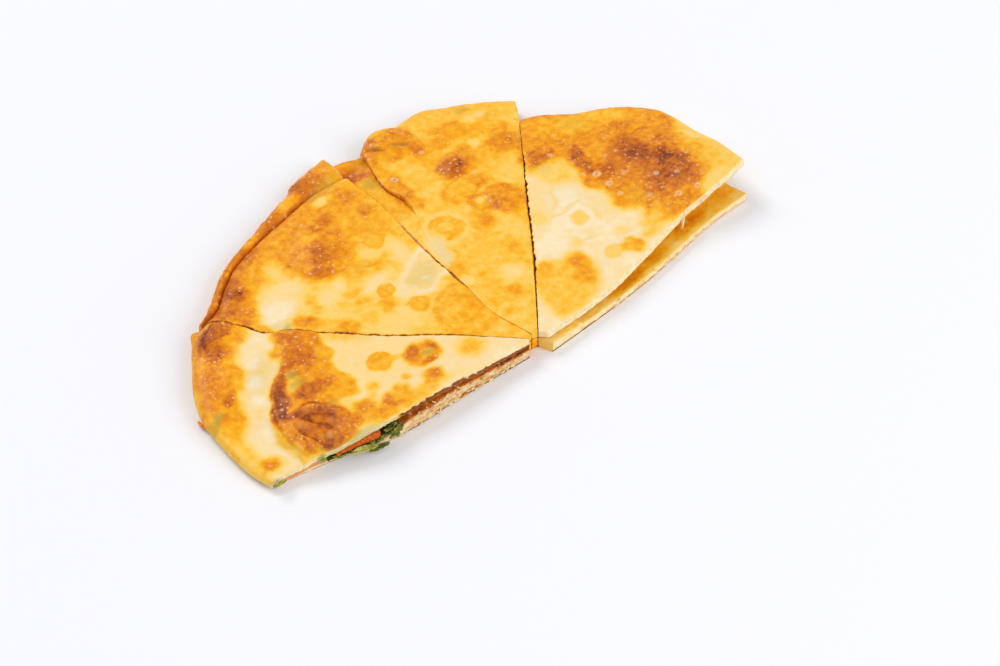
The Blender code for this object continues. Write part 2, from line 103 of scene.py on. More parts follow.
# Rims, from the left cut of the slice to its right cut.
RIM_1 = (
    (-117.4, 14.6), (-119.2, 24), (-119.3, 34), (-118.6, 45), (-117.6, 53), (-115.6, 60), (-111, 69.4),
    (-104, 79.6), (-97.6, 88), (-90.5, 92),
)
RIM_1_BASE = (CUT_FRONT_BASE[-1],) + RIM_1[1:7] + (
    (-104.8, 80.7), (-101.5, 88.8), (-97.1, 95.6), (-90.5, 92.2),
)
RIM_2 = (
    (-90.5, 92), (-80, 96), (-70, 104), (-62, 109.6), (-50, 114), (-40, 117), (-30, 119), (-20, 121.6),
    (-10, 123.4), (3.8, 122.5),
)
RIDGE_2 = (
    (-90.5, 94), (-85.5, 97), (-76, 104.5), (-67.5, 111.4), (-55, 117.4), (-43, 122.4), (-31, 127.2),
    (-18.8, 131.8), (-15.6, 134.6), (-6.4, 137.4), (5, 139.4),
)
RIM_3 = (
    (18, 130), (25.5, 135), (30.2, 136.6), (34, 136), (38.5, 133.9), (53.4, 134.2), (61.8, 130),
    (70.5, 125.8), (80.8, 119.2), (88.4, 112.9),
)
RIM_3_BASE = (
    (4.6, 134), (11, 133.4), (17.6, 131), (27, 131.6), (38, 130.2), (52, 131), (61, 126.8), (69.6, 122.4),
    (79, 115.8), (85.4, 109.8),
)
RIM_4 = (
    (80, 101), (82.6, 101.6), (88, 99.3), (96.3, 93.5), (103.2, 88.6), (110.9, 84.8), (118.8, 79.7),
    (125.3, 72.8), (129, 66.2), (129.6, 56), (127.6, 43.4), (125.9, 31), (124.3, 20.5), (123.5, 14.8),
)
RIM_4_BASE = (
    (78, 98.2), (81.4, 97.8), (86.4, 95.8), (94, 90.4), (101, 85.4), (108.8, 81), (115.4, 76.4),
    (121.4, 70.2), (124.6, 63.8), (125.6, 56), (123.6, 44), (120.6, 30), (119, 18.5), (120.6, 8.8),
)

# Swells of the bread: middle x and y, half length, half width, turn in degrees, height.
SWELLS = (
    (-84, 38, 38, 19, 66, 2.0), (-77, 6, 15, 24, 0, 3.0), (-48, 2, 34, 24, 0, 2.8),
    (-89, 85, 11, 8, 35, 2.6), (-105, 60, 22, 9, 60, 0.9), (-109, 36, 26, 9, 92, -1.3),
    (-70, 98, 10, 8, 30, 1.1), (-34, 93, 18, 12, 50, 1.2), (-10, 36, 18, 14, 0, 0.8),
    (-12, 58, 13, 9, 20, -0.8), (-60, 80, 14, 10, 0, -0.7), (29, 127, 13, 11, 0, 2.4),
    (42, 98, 9, 8, 0, 1.2), (43, 68, 14, 9, 80, 1.0), (13, 71, 11, 11, 0, 0.6), (60, 116, 16, 12, 0, 0.6),
    (104, 52, 30, 20, 70, 0.9), (80, 62, 12, 8, 60, 0.7), (55, 45, 24, 16, 40, -0.6),
    (62, 8, 40, 14, 5, 1.6),
)
POCKET = (8.2, 123.5, 7.5, 7.5, 0, -2.4)

# %% [markdown]
# ## The camera
#
# It stands at the place and height that the picture of the real bread was taken from, worked out from the
# ellipses of round things of known size. It looks down at 45 degrees, along a line turned 42 degrees from
# the fan's axis.

# %% Set up the camera
CAMERA_PLACE = (-397.7, -417.7, 596.7)  # from the point where the tips meet
CAMERA_DOWN, CAMERA_TURN, CAMERA_LENS = 45.4, -42.0, 79.2

camera = bpy.data.objects.new("camera", bpy.data.cameras.new("camera"))
bpy.context.scene.collection.objects.link(camera)
camera.data.lens = CAMERA_LENS
camera.data.sensor_width = 36.0
camera_x, camera_y, camera_z = CAMERA_PLACE
camera.location = Vector((camera_x + FAN_CENTRE[0], camera_y + FAN_CENTRE[1], camera_z)) * MM
camera.rotation_euler = (math.radians(90.0 - CAMERA_DOWN), 0.0, math.radians(CAMERA_TURN))
bpy.context.scene.camera = camera

# %% [markdown]
# ## The surface of the bread as a formula
#
# Each height is a short function of plan position, for whole arrays of points at once. That is much
# faster than moving points one by one, and a skin and its neighbour read the same numbers, so they never
# cross.


# %% Helpers for shapes
def smooth(low, high, value):
    t = np.clip((value - low) / (high - low), 0.0, 1.0)
    return t * t * (3.0 - 2.0 * t)


def wave(x, y, width, seed):
    """Smooth noise about width millimetres across, between about -1 and 1."""
    u, v = x / width + 17.3 * seed, y / width - 9.1 * seed
    i, j = np.floor(u), np.floor(v)
    f, g = u - i, v - j

    def corner(di, dj):
        spin = np.sin((i + di) * 127.1 + (j + dj) * 311.7) * 43758.5
        angle = 2.0 * math.pi * (spin - np.floor(spin))
        return np.cos(angle) * (f - di) + np.sin(angle) * (g - dj)

    s, t = f ** 3 * (f * (6 * f - 15) + 10), g ** 3 * (g * (6 * g - 15) + 10)
    near = corner(0, 0) * (1 - s) + corner(1, 0) * s
    far = corner(0, 1) * (1 - s) + corner(1, 1) * s
    return 1.5 * (near * (1 - t) + far * t)


def ellipse_reach(x, y, cx, cy, half_length, half_width, turn):
    """Distance from the middle of an ellipse, which is 1 on its edge."""
    c, s = math.cos(math.radians(turn)), math.sin(math.radians(turn))
    along = ((x - cx) * c + (y - cy) * s) / half_length
    across = ((y - cy) * c - (x - cx) * s) / half_width
    return np.hypot(along, across)


def dome(x, y, swell):
    return swell[5] * np.maximum(0.0, 1.0 - ellipse_reach(x, y, *swell[:5]) ** 2) ** 1.5


def through(points, t):
    """Points at the fractions t of the smooth curve through the points."""
    p = np.array(points, float)
    knots = np.concatenate(([0.0], np.cumsum(np.hypot(*np.diff(p, axis=0).T))))
    slopes = np.empty_like(p)
    slopes[1:-1] = (p[2:] - p[:-2]) / (knots[2:] - knots[:-2])[:, None]
    slopes[0] = (p[1] - p[0]) / knots[1]
    slopes[-1] = (p[-1] - p[-2]) / (knots[-1] - knots[-2])
    at = np.clip(t, 0.0, 1.0) * knots[-1]
    i = np.clip(np.searchsorted(knots, at, side="right") - 1, 0, len(p) - 2)
    span = knots[i + 1] - knots[i]
    s = ((at - knots[i]) / span)[:, None]
    span = span[:, None]
    return ((2 * s ** 3 - 3 * s ** 2 + 1) * p[i] + (s ** 3 - 2 * s ** 2 + s) * span * slopes[i]
            + (3 * s ** 2 - 2 * s ** 3) * p[i + 1] + (s ** 3 - s ** 2) * span * slopes[i + 1])


def level_at(points, x):
    """y of a cut that runs along X, at x."""
    ordered = np.array(sorted(points), float)
    return np.interp(x, ordered[:, 0], ordered[:, 1])


# %% Heights of the bread
def ripple(x, y):
    """The same uneven surface as on the solids, so it reads the same noise."""
    places = list(zip(x.tolist(), y.tolist()))
    total = np.zeros(len(x))
    for width, height, seed in RIPPLES:
        total += height * np.array([noise.noise((a / width, b / width, seed)) for a, b in places])
    return total


def crust(x, y):
    height = TOP_HEIGHT + ripple(x, y) + sum(dome(x, y, swell) for swell in SWELLS)
    height += CORNER_LIFT * np.exp(-(np.hypot(x - CORNER[0], y - CORNER[1]) / CORNER_REACH) ** 2)
    return height - THIN_FRONT * smooth(*THIN_FRONT_X, x) * (1.0 - smooth(*THIN_FRONT_Y, y))


def from_fold(x, y):
    """How far each point lies to the right of the folded edge of slice 3."""
    share = (y - FOLD_3[0][1]) / (FOLD_3[-1][1] - FOLD_3[0][1])
    return x - through(FOLD_3, share)[:, 0]


def fold_share(x, y):
    """1 beside the folded edge of slice 3, falling to 0 away from it."""
    return smooth(*FOLD_REACH_Y, y) * smooth(*FOLD_REACH_X, from_fold(x, y)) * smooth(*FOLD_SIDE, x)


def ceiling(x, y, high):
    """Underside of the top sheets, under a crust of the height high."""
    front = smooth(*THICK_FRONT_X, x) * smooth(*THICK_FRONT_END, x) * smooth(*THICK_FRONT_Y, y)
    thick = SHEET_THICK + THICK_FRONT * front - FOLD_THIN * fold_share(x, y)
    return high - np.minimum(thick, SHEET_SHARE * high)


def fill_depth(x, y, roof):
    across = np.maximum(0.0, 1.0 - ((x - FILL_MIDDLE) / FILL_HALF_WIDTH) ** 2)
    back = 1.0 - FILL_BACK * smooth(*FILL_BACK_Y, y) - FILL_END * smooth(*FILL_END_Y, y)
    return np.maximum(0.0, np.minimum(FILL_DEPTH * across * back, roof - FILL_LEAVES))


def base_face(x, y):
    """Upper face of the base sheets, just under what lies on it."""
    roof = ceiling(x, y, crust(x, y))
    level = BASE_LEVEL + BASE_RIPPLE * ripple(x, y) + BASE_FOLD_RISE * fold_share(x, y) + dome(x, y, POCKET)
    level -= FOLD_DROP * smooth(*FOLD_DROP_Y, y) * smooth(*FOLD_DROP_X, x)
    sag = BASE_SAG * smooth(*BASE_SAG_Y, y - level_at(CUT_RIGHT_BASE, x))
    level -= np.where(x > OPEN_SIDE_X, sag, 0.0)
    level = np.where(x < CLOSED_SIDE_X, roof, level)
    depth = fill_depth(x, y, roof)
    pressed = roof - SEAM - np.where(depth > 0.0, depth + SEAM, 0.0)
    return np.maximum(BASE_THIN, np.minimum(level, pressed))


def rim_drop(height, inward):
    t = np.clip(1.0 - inward / RIM_ROUND, 0.0, 1.0)
    deepest = RIM_DROP * np.minimum(height, TOP_HEIGHT)
    return deepest * (1.0 - np.sqrt(1.0 - t * t)) * smooth(*CRISP_HEIGHTS, height)


# %% [markdown]
# ## A slice as a patch between its two cuts and its rim
#
# A wedge has four sides if its blunt tip counts as one, so a grid fits it without a pole: one way runs
# across from cut to cut, the other outward to the rim. Blending the two cuts and the rim places every
# point of the grid. A knife leaves no even gap: it gapes where the bread pulled apart and closes where it
# sagged together.

# %% The plan of a slice
EVEN_KERF = ((0.0, 0.2), (1.0, 0.2))    # outward share, half width of the cut in millimetres


class Wedge:
    """A slice seen from above, between its left cut, its right cut and its rim."""

    def __init__(self, left, right, rim, inset=0.0, kerfs=(EVEN_KERF, EVEN_KERF)):
        self.left, self.right, self.rim = left, right, rim
        self.radius = math.dist(through(rim, np.array([0.5]))[0], left[0])
        self.reach = 1.0 - inset / self.radius
        self.kerfs = [np.array(kerf).T for kerf in kerfs]

    def at(self, across, outward):
        """Plan points, and the width of the wedge there."""
        outward = outward * self.reach
        a, b = through(self.left, outward), through(self.right, outward)
        r = through(self.rim, across)
        width = np.maximum(0.5, np.hypot(*(b - a).T))
        halves = []
        for kerf, cut in zip(self.kerfs, (a.T, b.T)):
            uneven = 1.0 + 0.45 * wave(*cut, 2.3, 11.0) + 0.3 * wave(*cut, 0.8, 17.0)
            halves.append(np.interp(outward, *kerf) * uneven)
        pull = (((1.0 - across) * halves[0] - across * halves[1]) / width)[:, None]
        s, t = across[:, None], outward[:, None]
        corner = (1.0 - s) * np.array(self.left[-1]) + s * np.array(self.right[-1])
        return (1.0 - s) * a + s * b + t * (r - corner) + pull * (b - a), width


# %% [markdown]
# ## From a grid to a sheet of dough
#
# A flat grid is pulled down in a few steps with the extrude tool. That makes a closed block whose side
# walls have rows of their own, which is where the torn layers of a cut show. Every point of the block is
# then put in its place on the real sheet from three shares: how far across, how far outward and how deep
# it lies.


# %% Helpers that make, read and place a block
BLOCK_EDGE = 0.4999             # points further out than this are on a wall of the block
SHEET_RINGS = 6                 # rows down the wall of a sheet


def deselect():
    bpy.ops.object.select_all(action="DESELECT")


def block(name, columns, rows, rings):
    """A closed unit block: x is the share across, y outward, and z goes from 0 down to -1."""
    deselect()
    bpy.ops.mesh.primitive_grid_add(x_subdivisions=columns, y_subdivisions=rows, size=1.0)
    item = bpy.context.object
    item.name = item.data.name = name
    bpy.ops.object.mode_set(mode="EDIT")
    bpy.ops.mesh.select_all(action="SELECT")
    for _ in range(rings):
        bpy.ops.mesh.extrude_region_move(TRANSFORM_OT_translate={"value": (0.0, 0.0, -1.0 / rings)})
    bpy.ops.mesh.select_all(action="SELECT")
    bpy.ops.mesh.normals_make_consistent(inside=False)
    bpy.ops.object.mode_set(mode="OBJECT")
    return item


def read_points(item):
    flat = np.empty(len(item.data.vertices) * 3)
    item.data.vertices.foreach_get("co", flat)
    return flat.reshape(-1, 3)


def put_points(item, x, y, z):
    """Moves the points to plan millimetres round the tips, and the height above the table."""
    placed = np.column_stack((x + FAN_CENTRE[0], y + FAN_CENTRE[1], z)) * MM
    item.data.vertices.foreach_set("co", placed.ravel())
    item.data.update()


def keep(item, name, values):
    """Stores one number at each point, for the material to read."""
    made = item.data.attributes.new(name, "FLOAT", "POINT")
    made.data.foreach_set("value", np.clip(values, 0.0, 1.0).astype(np.float32))


def closer_at_ends(share, both, pack):
    """Bunches evenly spaced shares towards 1, or towards both ends."""
    turns = 2.0 * math.pi if both else math.pi
    return share + (-1.0 if both else 1.0) * pack * np.sin(turns * share) / turns


# %% [markdown]
# ## Browning
#
# Each blister of the dough left its own mark, so the browning is painted mark by mark, like a glaze, from
# 0 for raw cream to 1 for the darkest crust. A spot is an ellipse and an area has an outline. The paint's
# coordinates are pushed about by noise first, so that no edge is clean. A mark may also stand proud, or
# have a different ring along its edge. The numbers go into the mesh as an attribute, and the material
# turns them into colour.

# %% Marks, creases and ledges
Spot = namedtuple("Spot", "x y long wide level turn soft rise ring", defaults=(0, 0.8, 0.0, 0.0))
Area = namedtuple("Area", "points level soft rise ring", defaults=(1.5, 0.0, 0.0))
Crease = namedtuple("Crease", "points width depth level", defaults=(0.8,))
WARPS = ((7.0, 1.0), (2.8, 0.5), (1.2, 0.2))    # width of a push and its reach, in millimetres


def warped(x, y):
    """Plan positions pushed about, so that painted edges come out uneven."""
    placed = []
    for value, seed in ((x, 1.7), (y, 5.3)):
        for k, (width, reach) in enumerate(WARPS):
            value = value + reach * wave(x, y, width, seed + k)
        placed.append(value)
    return placed


def beside(x, y, points, closed=False):
    """Distance from a curve, the side of it, positive on its right, and the share along it."""
    points = tuple(points) + ((points[0],) if closed else ())
    curve = through(points, np.linspace(0.0, 1.0, 6 * len(points)))
    best = np.full(len(x), 1e9)
    side, along, inside = np.zeros(len(x)), np.zeros(len(x)), np.zeros(len(x), bool)
    for k, (a, b) in enumerate(zip(curve, curve[1:])):
        step = b - a
        t = np.clip(((x - a[0]) * step[0] + (y - a[1]) * step[1]) / step.dot(step), 0.0, 1.0)
        dx, dy = x - a[0] - t * step[0], y - a[1] - t * step[1]
        distance = np.hypot(dx, dy)
        nearer = distance < best
        best = np.where(nearer, distance, best)
        side = np.where(nearer, np.sign(step[1] * dx - step[0] * dy), side)
        along = np.where(nearer, (k + t) / (len(curve) - 1), along)
        inside ^= ((a[1] > y) != (b[1] > y)) & (x < a[0] + (y - a[1]) * step[0] / (step[1] or 1e-9))
    return best, (np.where(inside, 1.0, -1.0) if closed else side), along


def cover_of(mark, x, y):
    """How much of each point the mark covers, and how near its edge the point lies."""
    if isinstance(mark, Area):
        distance, side, _ = beside(x, y, mark.points, closed=True)
        signed = distance * side
        return smooth(-1.8 * mark.soft, 1.8 * mark.soft, signed), np.exp(-((signed - 0.7) / 0.8) ** 2)
    reach = ellipse_reach(x, y, mark.x, mark.y, mark.long, mark.wide, mark.turn)
    return smooth(1.0 + 0.8 * mark.soft, 1.0 - 0.8 * mark.soft, reach), np.exp(-((reach - 0.9) / 0.16) ** 2)


def paint(values, high, x, y, marks):
    """Lays the marks over the values in turn, each hiding what is under it, and lifts those with a rise."""
    for mark in marks:
        mark = mark if isinstance(mark, Area) else Spot(*mark)
        cover, edge = cover_of(mark, x, y)
        values = values + cover * (mark.level - values) + mark.ring * edge
        high = high + mark.rise * cover
    return values, high


def add_creases(bake, high, x, y, creases):
    """Cuts the creases into the surface, each darker along its bottom and running out at its ends."""
    for numbers in creases:
        crease = Crease(*numbers)
        distance, _, along = beside(x, y, crease.points)
        near = np.exp(-(distance / crease.width) ** 2) * np.sin(math.pi * np.clip(along, 0.04, 0.96)) ** 0.5
        high = high - crease.depth * near
        bake = bake + near * np.maximum(0.0, crease.level - bake)
    return bake, high


def add_ledges(high, x, y, ledges):
    """Lifts the side on the curve's right in a crisp step that fades away from it."""
    for points, rise, fall in ledges:
        distance, side, along = beside(x, y, points)
        signed = distance * side
        ends = smooth(0.0, 0.12, along) * smooth(1.0, 0.88, along)
        high = high + rise * ends * smooth(-0.3, 0.9, signed) * np.exp(-np.maximum(signed, 0.0) / fall)
    return high


def add_bubbles(bake, high, x, y, weight, count, seed):
    """Small domes of trapped air, pale on top with a darker foot, scattered where the weight is high."""
    draw = np.random.default_rng(seed)
    chosen = draw.choice(len(x), size=count, p=weight / weight.sum())
    for centre, share in zip(chosen, draw.uniform(0.0, 1.0, count)):
        size = 0.35 + 0.55 * share ** 3
        near = np.hypot(x - x[centre], y - y[centre]) / size
        cap = np.sqrt(np.maximum(0.0, 1.0 - near ** 2))
        high = high + 0.28 * size * cap
        # Each top is painted paler, partly as pale dough and partly as painted highlight, and its foot
        # darker.
        bake = bake - (0.08 + 0.1 * share) * cap + 0.05 * np.exp(-((near - 1.3) / 0.3) ** 2)
    return bake, high


def add_rings(high, x, y, rings):
    """Raised rings that burst bubbles left: how pale each point is, and the height."""
    pale = np.zeros(len(x))
    for cx, cy, radius in rings:
        near = ellipse_reach(x, y, cx, cy, radius, 0.8 * radius, 70.0 * cx) + 0.12 * wave(x, y, 0.9, cx)
        ring = np.exp(-((near - 0.8) / 0.24) ** 2)
        pale = np.maximum(pale, ring + 0.4 * (near < 0.8))
        high = high + 0.25 * ring
    return pale, high


# The ground is the browning before any mark. The rim lists share across, width and browning of its band.
Look = namedtuple("Look", "ground rim marks creases green seed rings ledges bubbles", defaults=((), (), 50))


def browning(look, x, y, across, inward):
    """The painted browning, the green under the skin, and the height of the surface with its relief."""
    painted_x, painted_y = warped(x, y)
    bake = look.ground + 0.06 * wave(x, y, 10.0, look.seed) + 0.05 * wave(x, y, 4.0, look.seed + 5.0)
    spans, widths, levels = np.array(look.rim).T
    uneven = inward + 2.0 * wave(x, y, 6.0, look.seed + 2.0) + 0.9 * wave(x, y, 2.0, look.seed + 3.0)
    band = np.interp(across, spans, widths)
    bake = bake + smooth(band + 1.8, band - 1.8, uneven) * (np.interp(across, spans, levels) - bake)
    body = crust(x, y)
    bake, high = paint(bake, body, painted_x, painted_y, look.marks)
    browned = smooth(0.25, 0.6, bake)
    mottled = 0.09 * wave(x, y, 3.6, look.seed + 11.0) + 0.05 * wave(x, y, 1.7, look.seed + 13.0)
    bake = bake + browned * mottled
    high = high + 0.1 * browned * wave(x, y, 1.7, look.seed + 7.0) + 0.14 * wave(x, y, 3.4, look.seed + 9.0)
    bake, high = add_creases(bake, high, painted_x, painted_y, look.creases)
    high = add_ledges(high, x, y, look.ledges)
    green, _ = paint(np.zeros(len(x)), body, painted_x, painted_y, look.green)
    return bake, green, high, body


# %% [markdown]
# ### What each slice looks like
#
# The lists go from large fields of colour to small spots, because each one covers what came before it.
# All were read off: first the big blisters and the pale dough between them, then the darkest
# places, then the rings. A spot or a crease is written as bare numbers, in the order of its fields.

# %% Slice 1, with the big crisp blister
SLICE_1 = (
    # The band along the rim.
    Area(((-89, 94), (-80, 88), (-77, 82), (-81, 76.5), (-86.5, 73), (-92, 69), (-93, 62.5), (-97, 58.5),
        (-100.5, 55), (-102.5, 51), (-104, 45.5), (-109, 40.5), (-113, 36), (-122, 34), (-124, 60),
        (-112, 84)), 0.54, 1.6), (-115.5, 31, 3.6, 9, 0.4, 0, 0.9), (-117.5, 24, 2.5, 9, 0.36),
    (-115.5, 44, 4.5, 5, 0.47), (-110, 47.5, 5, 4.5, 0.58, 0, 0.7), (-106, 66, 7, 6.5, 0.69, 60),
    (-113, 60, 4, 6, 0.64, -20), (-115.6, 62.5, 2.6, 7, 0.46, -25), (-119.4, 42, 1.8, 8, 0.4),
    (-105.4, 55.2, 3, 2.6, 0.82), (-97, 63, 4.5, 6, 0.56, 0, 0.5, 0.25), (-98, 57.5, 3.4, 3, 0.52, 0, 0.6),
    (-95.7, 76.3, 4.6, 4.2, 0.83, 10, 0.9), (-85, 78, 5, 3, 0.55, 20, 0.9),
    (-89.5, 84, 7.5, 3.4, 0.83, 8, 0.6, 0.4), (-98, 83, 3, 5, 0.74, -40),
    (-95, 83.5, 2, 2.6, 0.96, -30, 0.7), (-88, 90.5, 7, 2.6, 0.64, -20), (-82, 86, 3, 2, 0.76, -50),
    (-112, 21.5, 4.4, 4.4, 0.53, 0, 0.7), (-112.3, 21.5, 2, 2.2, 0.67, 0, 0.9),
    # White places in the pale band, and painted shade beside the blister and along the cut to slice 2.
    (-99, 47, 3.4, 9, 0.2, -32), (-90.5, 56, 9, 4.4, 0.2, 42, 0.9), (-52, 34, 26, 14, 0.18, -40),
    (-55, 53, 9, 3.4, 0.38, -46, 0.9), (-93.5, 54, 3.4, 3, 0.03, 30, 0.8, 0.2), (-98, 47, 2.6, 3.4, 0.05),
    (-105, 34, 2.4, 4, 0.06), (-88, 63, 3.4, 2.6, 0.06), (-84, 70, 3.6, 3, 0.12), (-103, 26, 1.6, 4, 0.08),
    # The blister, with a yellow line round its foot.
    Area(((-103.4, 12), (-104.2, 24), (-102.6, 32), (-98.6, 38.2), (-93.6, 46), (-88, 50.8), (-82, 55),
        (-78, 58.8), (-77, 64), (-77, 69), (-70, 71.5), (-63, 67), (-60, 62), (-61.5, 54), (-64, 48),
        (-66.5, 40), (-64.8, 32.5), (-68, 25), (-76, 25), (-77, 14), (-80.5, 9.2), (-90, 8.4), (-98, 9.4)),
        0.45, 0.6, 0.15),
    Area(((-100.3, 14), (-100.8, 24), (-99.9, 31), (-97.5, 36.8), (-92.3, 44.4), (-87, 49), (-81, 53.2),
        (-76.8, 57.4), (-75.6, 63), (-75.5, 67), (-70, 69.4), (-64, 65.5), (-62, 61), (-63.5, 54.5),
        (-66, 47), (-69, 39), (-71, 32), (-76, 28), (-79, 24), (-78.6, 15), (-82, 10.6), (-90, 10.2),
        (-97, 11.4)), 0.64, 0.8), (-96, 10.6, 7, 2.2, 0.33, -25, 0.7), (-71, 63.5, 5.4, 4.4, 0.74, 20),
    (-64.6, 60, 3.2, 5, 0.66, 15, 0.7, 0.2), (-68.5, 57, 4.6, 4, 0.68), (-78.5, 60.5, 3.6, 3, 0.55, 30),
    (-76, 54.5, 6.4, 4, 0.78, 30, 0.7, 0.2), (-73, 50, 4.4, 4, 0.76), (-84.5, 49.4, 5, 2.2, 0.8, 34, 0.7),
    (-65, 49.8, 4, 3.8, 0.54, 0, 0.4, 0.3), (-86, 43.8, 3.6, 3, 0.5, 40), (-83, 46.5, 4, 3, 0.54, 20),
    (-84.5, 42, 4.4, 3, 0.4, 10, 0.7), (-77, 47.5, 3.6, 2.6, 0.7), (-79.5, 42.4, 4, 2.4, 0.6),
    (-70.5, 42.5, 3.6, 4.6, 0.58), (-76.5, 41.5, 3.4, 3, 0.62, 0, 0.9),
    (-89.4, 45.6, 5.4, 2.4, 0.88, 44, 0.6), (-92.6, 41.4, 4.8, 3.2, 0.92, 54, 0.6),
    (-95.4, 36.6, 4.6, 3.4, 0.95, 60, 0.6), (-97.8, 32.6, 2.8, 2.6, 0.99, 60, 0.7),
    (-82.3, 37.3, 7, 2.9, 0.84, 8, 0.6), (-77, 35.5, 4, 3, 0.74), (-91.5, 33.8, 3.6, 1.4, 0.52, 20, 0.7),
    (-99, 27.5, 2, 5, 0.6), (-90, 18.5, 9.6, 8, 0.77, -30, 0.5, 0.2), (-98, 22, 2.6, 7, 0.68, 5),
    (-90.5, 29.4, 5.4, 2.6, 0.92, -36, 0.5, 0.2), (-84, 25, 7, 3, 0.86, -42, 0.6, 0.2),
    (-80.3, 19.5, 2.2, 5, 0.76, 10, 0.7), (-78, 13, 3.4, 3, 0.72), (-92, 13.2, 3.4, 2.4, 0.88, -20),
    (-83.5, 13.5, 3.6, 3, 0.72), (-69.4, 31.6, 4.4, 5.4, 0.55, 0, 0.5, 0.25), (-75, 30, 3.4, 3, 0.5),
    (-74.5, 23, 3, 3, 0.28),
    # Low orange spots near the cut.
    (-62, 9, 15, 3.4, 0.47, -2), (-47, 9.5, 8, 3, 0.45), (-72, 17, 5.4, 4.6, 0.63, 0, 0.7),
    (-70, 10.5, 6, 2.8, 0.57), (-62, 13.2, 4.2, 4.2, 0.69, 0, 0.6, 0.25),
    (-56.5, 14.6, 4.4, 4, 0.52, 0, 0.6), (-50.5, 19.6, 2, 2, 0.48, 0, 0.7),
    (-42.8, 13.4, 4.2, 3.8, 0.66, 0, 0.6, 0.25), (-62.5, 24, 3, 2.6, 0.44), (-66, 21, 2.4, 2, 0.36),
    (-52.5, 32.4, 5.4, 4.8, 0.5, -12, 0.22, 0.35, 0.03), (-46.5, 30.5, 3.2, 1.6, 0.44, -20, 0.7),
    (-38, 25.2, 7, 5.8, 0.6, 5, 0.5, 0.4), (-41, 27.4, 4, 3.2, 0.78, 20, 0.7),
    (-33, 25, 2.2, 3.4, 0.72, 10), (-36.6, 24.4, 3, 1.8, 0.46, -10, 0.7), (-38, 20.6, 4, 1.4, 0.7),
    (-22, 16, 6, 5, 0.46, 20),
)
BLISTER_EDGE = (
    (-97.6, 10.6), (-101.2, 14), (-101.6, 24), (-100.4, 32), (-98, 38), (-93.6, 45.2), (-88, 50),
    (-82.2, 54.2), (-77.6, 58.2), (-76.2, 63.5), (-76.5, 69),
)
CREASES_1 = (
    (((-93, 31), (-91, 25.5), (-88, 20), (-86, 15)), 0.6, 0.9, 0.96),
    (((-96, 28), (-96, 22), (-94.5, 17), (-92.5, 12)), 0.5, 0.7, 0.95),
    (((-99, 25), (-98, 20), (-98.6, 15)), 0.5, 0.4, 0.84),
    (((-88.5, 27), (-84.5, 21.5), (-82.5, 16)), 0.5, 0.6, 0.9),
    (((-90.5, 23), (-90, 19), (-91, 14)), 0.4, 0.4, 0.86),
    (((-92, 33.4), (-86, 32.6), (-79.5, 27)), 0.5, 0.5, 0.95),
    (((-97, 78), (-96.4, 83), (-92, 87), (-85, 88)), 0.8, 1.1, 0.98),
    (((-95, 80.6), (-90, 81.4), (-85, 80.6)), 0.5, 0.5, 0.86),
    (((-100, 80), (-97, 85), (-93, 89)), 0.6, 0.7, 0.9),
    (((-82, 50), (-78, 51.5), (-74, 50.5)), 0.5, 0.3, 0.84),
)
GREEN_1 = (
    (-83.6, 42.4, 3.6, 2, 0.7, 15, 0.9), (-82, 47.6, 2.4, 1.6, 0.9, 0, 0.9),
    (-115, 49, 4.2, 1.6, 0.9, 32, 0.9), (-36.2, 24.4, 2.4, 1.3, 0.9, -10), (-82, 7.2, 11, 1.9, 0.6, -10),
    (-97.6, 10.9, 1.3, 0.8, 1, 0, 0.6), (-66, 68, 2, 1.4, 0.8, 0, 0.9),
    (-90, 15.5, 2.6, 0.8, 0.6, -50, 0.9), (-82, 8.6, 2, 0.8, 0.8), (-79, 27, 2, 1.2, 0.5, 0, 0.9),
    # The spots at (-90.5, 56) and (-52, 50) grey the skin as painted shade beside the blister and along the
    # cut.
    (-102.5, 20, 1.2, 8, 0.3, 0, 0.9), (-93, 11, 6, 1.4, 0.45, -30), (-90.5, 56, 9, 4.4, 0.22, 42, 0.9),
    (-52, 50, 9, 3, 0.15, -46, 0.9),
)

